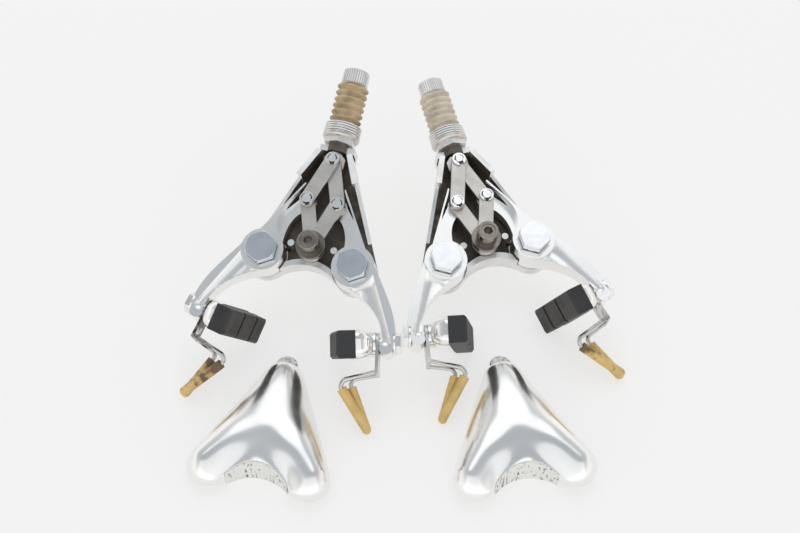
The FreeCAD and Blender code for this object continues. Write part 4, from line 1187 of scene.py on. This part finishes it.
class CALIPERS_OT_stage(bpy.types.Operator):
    """Pale table, soft light and the camera"""

    bl_idname = "calipers.stage"
    bl_label = "Stage"

    def execute(self, context):
        stage = context.scene.caliper_stage
        self.floor(stage)
        self.room()
        self.lamp("Softbox", SOFTBOX_PLACE, SOFTBOX_SIZE, stage.lamp)
        self.lamp("Fill", FILL_PLACE, FILL_SIZE, stage.fill)
        self.camera(stage)
        context.scene.view_settings.view_transform = "Standard"
        return {"FINISHED"}

    def floor(self, stage):
        shape = bmesh.new()
        bmesh.ops.create_grid(shape, x_segments=1, y_segments=1, size=TABLE_HALF)
        table = new_object("table", from_bmesh(shape, "table"), self.table(stage))
        table.location.z = TABLE_Z

    def table(self, stage):
        """Pale surface that keeps its shadows but looks nearly white to the camera and in the metal."""
        material = new_material("table", stage.table, TABLE_ROUGHNESS)
        nodes, links = material.node_tree.nodes, material.node_tree.links
        glow = nodes.new("ShaderNodeEmission")
        glow.inputs["Color"].default_value = (1, 1, 1, 1)
        glow.inputs["Strength"].default_value = 1.0
        mix = nodes.new("ShaderNodeMixShader")
        links.new(self.seen(nodes, links), mix.inputs[0])
        links.new(nodes["Principled BSDF"].outputs[0], mix.inputs[1])
        links.new(glow.outputs[0], mix.inputs[2])
        links.new(mix.outputs[0], nodes["Material Output"].inputs[0])
        return material

    def seen(self, nodes, links):
        """The share of white that a ray sees: the camera's, in gloss and through glass."""
        path = nodes.new("ShaderNodeLightPath")
        total = None
        for ray in GLOW_RAYS:
            part = nodes.new("ShaderNodeMath")
            part.operation = "MULTIPLY_ADD"
            part.use_clamp = True
            part.inputs[1].default_value = GLOW
            part.inputs[2].default_value = 0.0
            links.new(path.outputs[ray], part.inputs[0])
            if total:
                links.new(total, part.inputs[2])
            total = part.outputs[0]
        return total

    def room(self):
        """Grey-blue room, pale towards the horizon."""
        world = bpy.context.scene.world or bpy.data.worlds.new("World")
        bpy.context.scene.world = world
        world.use_nodes = True
        nodes, links = world.node_tree.nodes, world.node_tree.links
        where = nodes.new("ShaderNodeTexCoord")
        parts = nodes.new("ShaderNodeSeparateXYZ")
        links.new(where.outputs["Generated"], parts.inputs[0])
        background = nodes["Background"]
        links.new(ramp(world, parts.outputs["Z"], ROOM_TONES), background.inputs["Color"])
        background.inputs["Strength"].default_value = ROOM_STRENGTH

    def lamp(self, name, place, size, power):
        """Soft lamp that looks at the middle of the table."""
        light = bpy.data.lights.new(name, "AREA")
        light.shape = "RECTANGLE"
        light.size, light.size_y = size
        light.energy = power
        lamp = bpy.data.objects.new(name, light)
        lamp.location = place
        lamp.rotation_euler = (-Vector(place)).to_track_quat("-Z", "Y").to_euler()
        bpy.context.scene.collection.objects.link(lamp)

    def camera(self, stage):
        lens = bpy.data.cameras.new("Camera")
        lens.lens = stage.lens
        lens.clip_start = CAMERA_CLIP
        camera = bpy.data.objects.new("Camera", lens)
        back = Vector((0, -math.cos(stage.elevation), math.sin(stage.elevation)))
        camera.location = Vector(stage.aim) + back * stage.distance
        camera.rotation_euler = (math.pi / 2 - stage.elevation, 0, 0)
        bpy.context.scene.collection.objects.link(camera)
        bpy.context.scene.camera = camera


class CALIPERS_PT_pieces(bpy.types.Panel):
    """Lists the pieces and their sizes"""

    bl_idname = "CALIPERS_PT_pieces"
    bl_label = "Delta brake calipers"
    bl_space_type = "VIEW_3D"
    bl_region_type = "UI"
    bl_category = "Calipers"

    def draw(self, context):
        layout = self.layout
        for operator in OPERATORS:
            layout.operator(operator.bl_idname)
        scene = context.scene
        for group in (scene.caliper_sizes, scene.caliper_finishes, scene.caliper_stage):
            box = layout.box()
            for name in group.__annotations__:
                box.prop(group, name)


GROUPS = (("caliper_sizes", CaliperSizes), ("caliper_finishes", CaliperFinishes),
          ("caliper_stage", CaliperStage))
OPERATORS = (CALIPERS_OT_bodies, CALIPERS_OT_arms, CALIPERS_OT_linkage, CALIPERS_OT_bolts,
             CALIPERS_OT_adjusters, CALIPERS_OT_pads, CALIPERS_OT_guides, CALIPERS_OT_covers,
             CALIPERS_OT_stage)


def register():
    for name, group in GROUPS:
        bpy.utils.register_class(group)
        setattr(bpy.types.Scene, name, bpy.props.PointerProperty(type=group))
    for operator in OPERATORS:
        bpy.utils.register_class(operator)
    bpy.utils.register_class(CALIPERS_PT_pieces)


def unregister():
    bpy.utils.unregister_class(CALIPERS_PT_pieces)
    for operator in reversed(OPERATORS):
        bpy.utils.unregister_class(operator)
    for name, group in reversed(GROUPS):
        delattr(bpy.types.Scene, name)
        bpy.utils.unregister_class(group)


def main():
    register()
    bpy.ops.calipers.bodies()
    bpy.ops.calipers.arms()
    bpy.ops.calipers.linkage()
    bpy.ops.calipers.bolts()
    bpy.ops.calipers.adjusters()
    bpy.ops.calipers.pads()
    bpy.ops.calipers.guides()
    bpy.ops.calipers.covers()
    bpy.ops.calipers.stage()


if __name__ == "__main__":
    main()
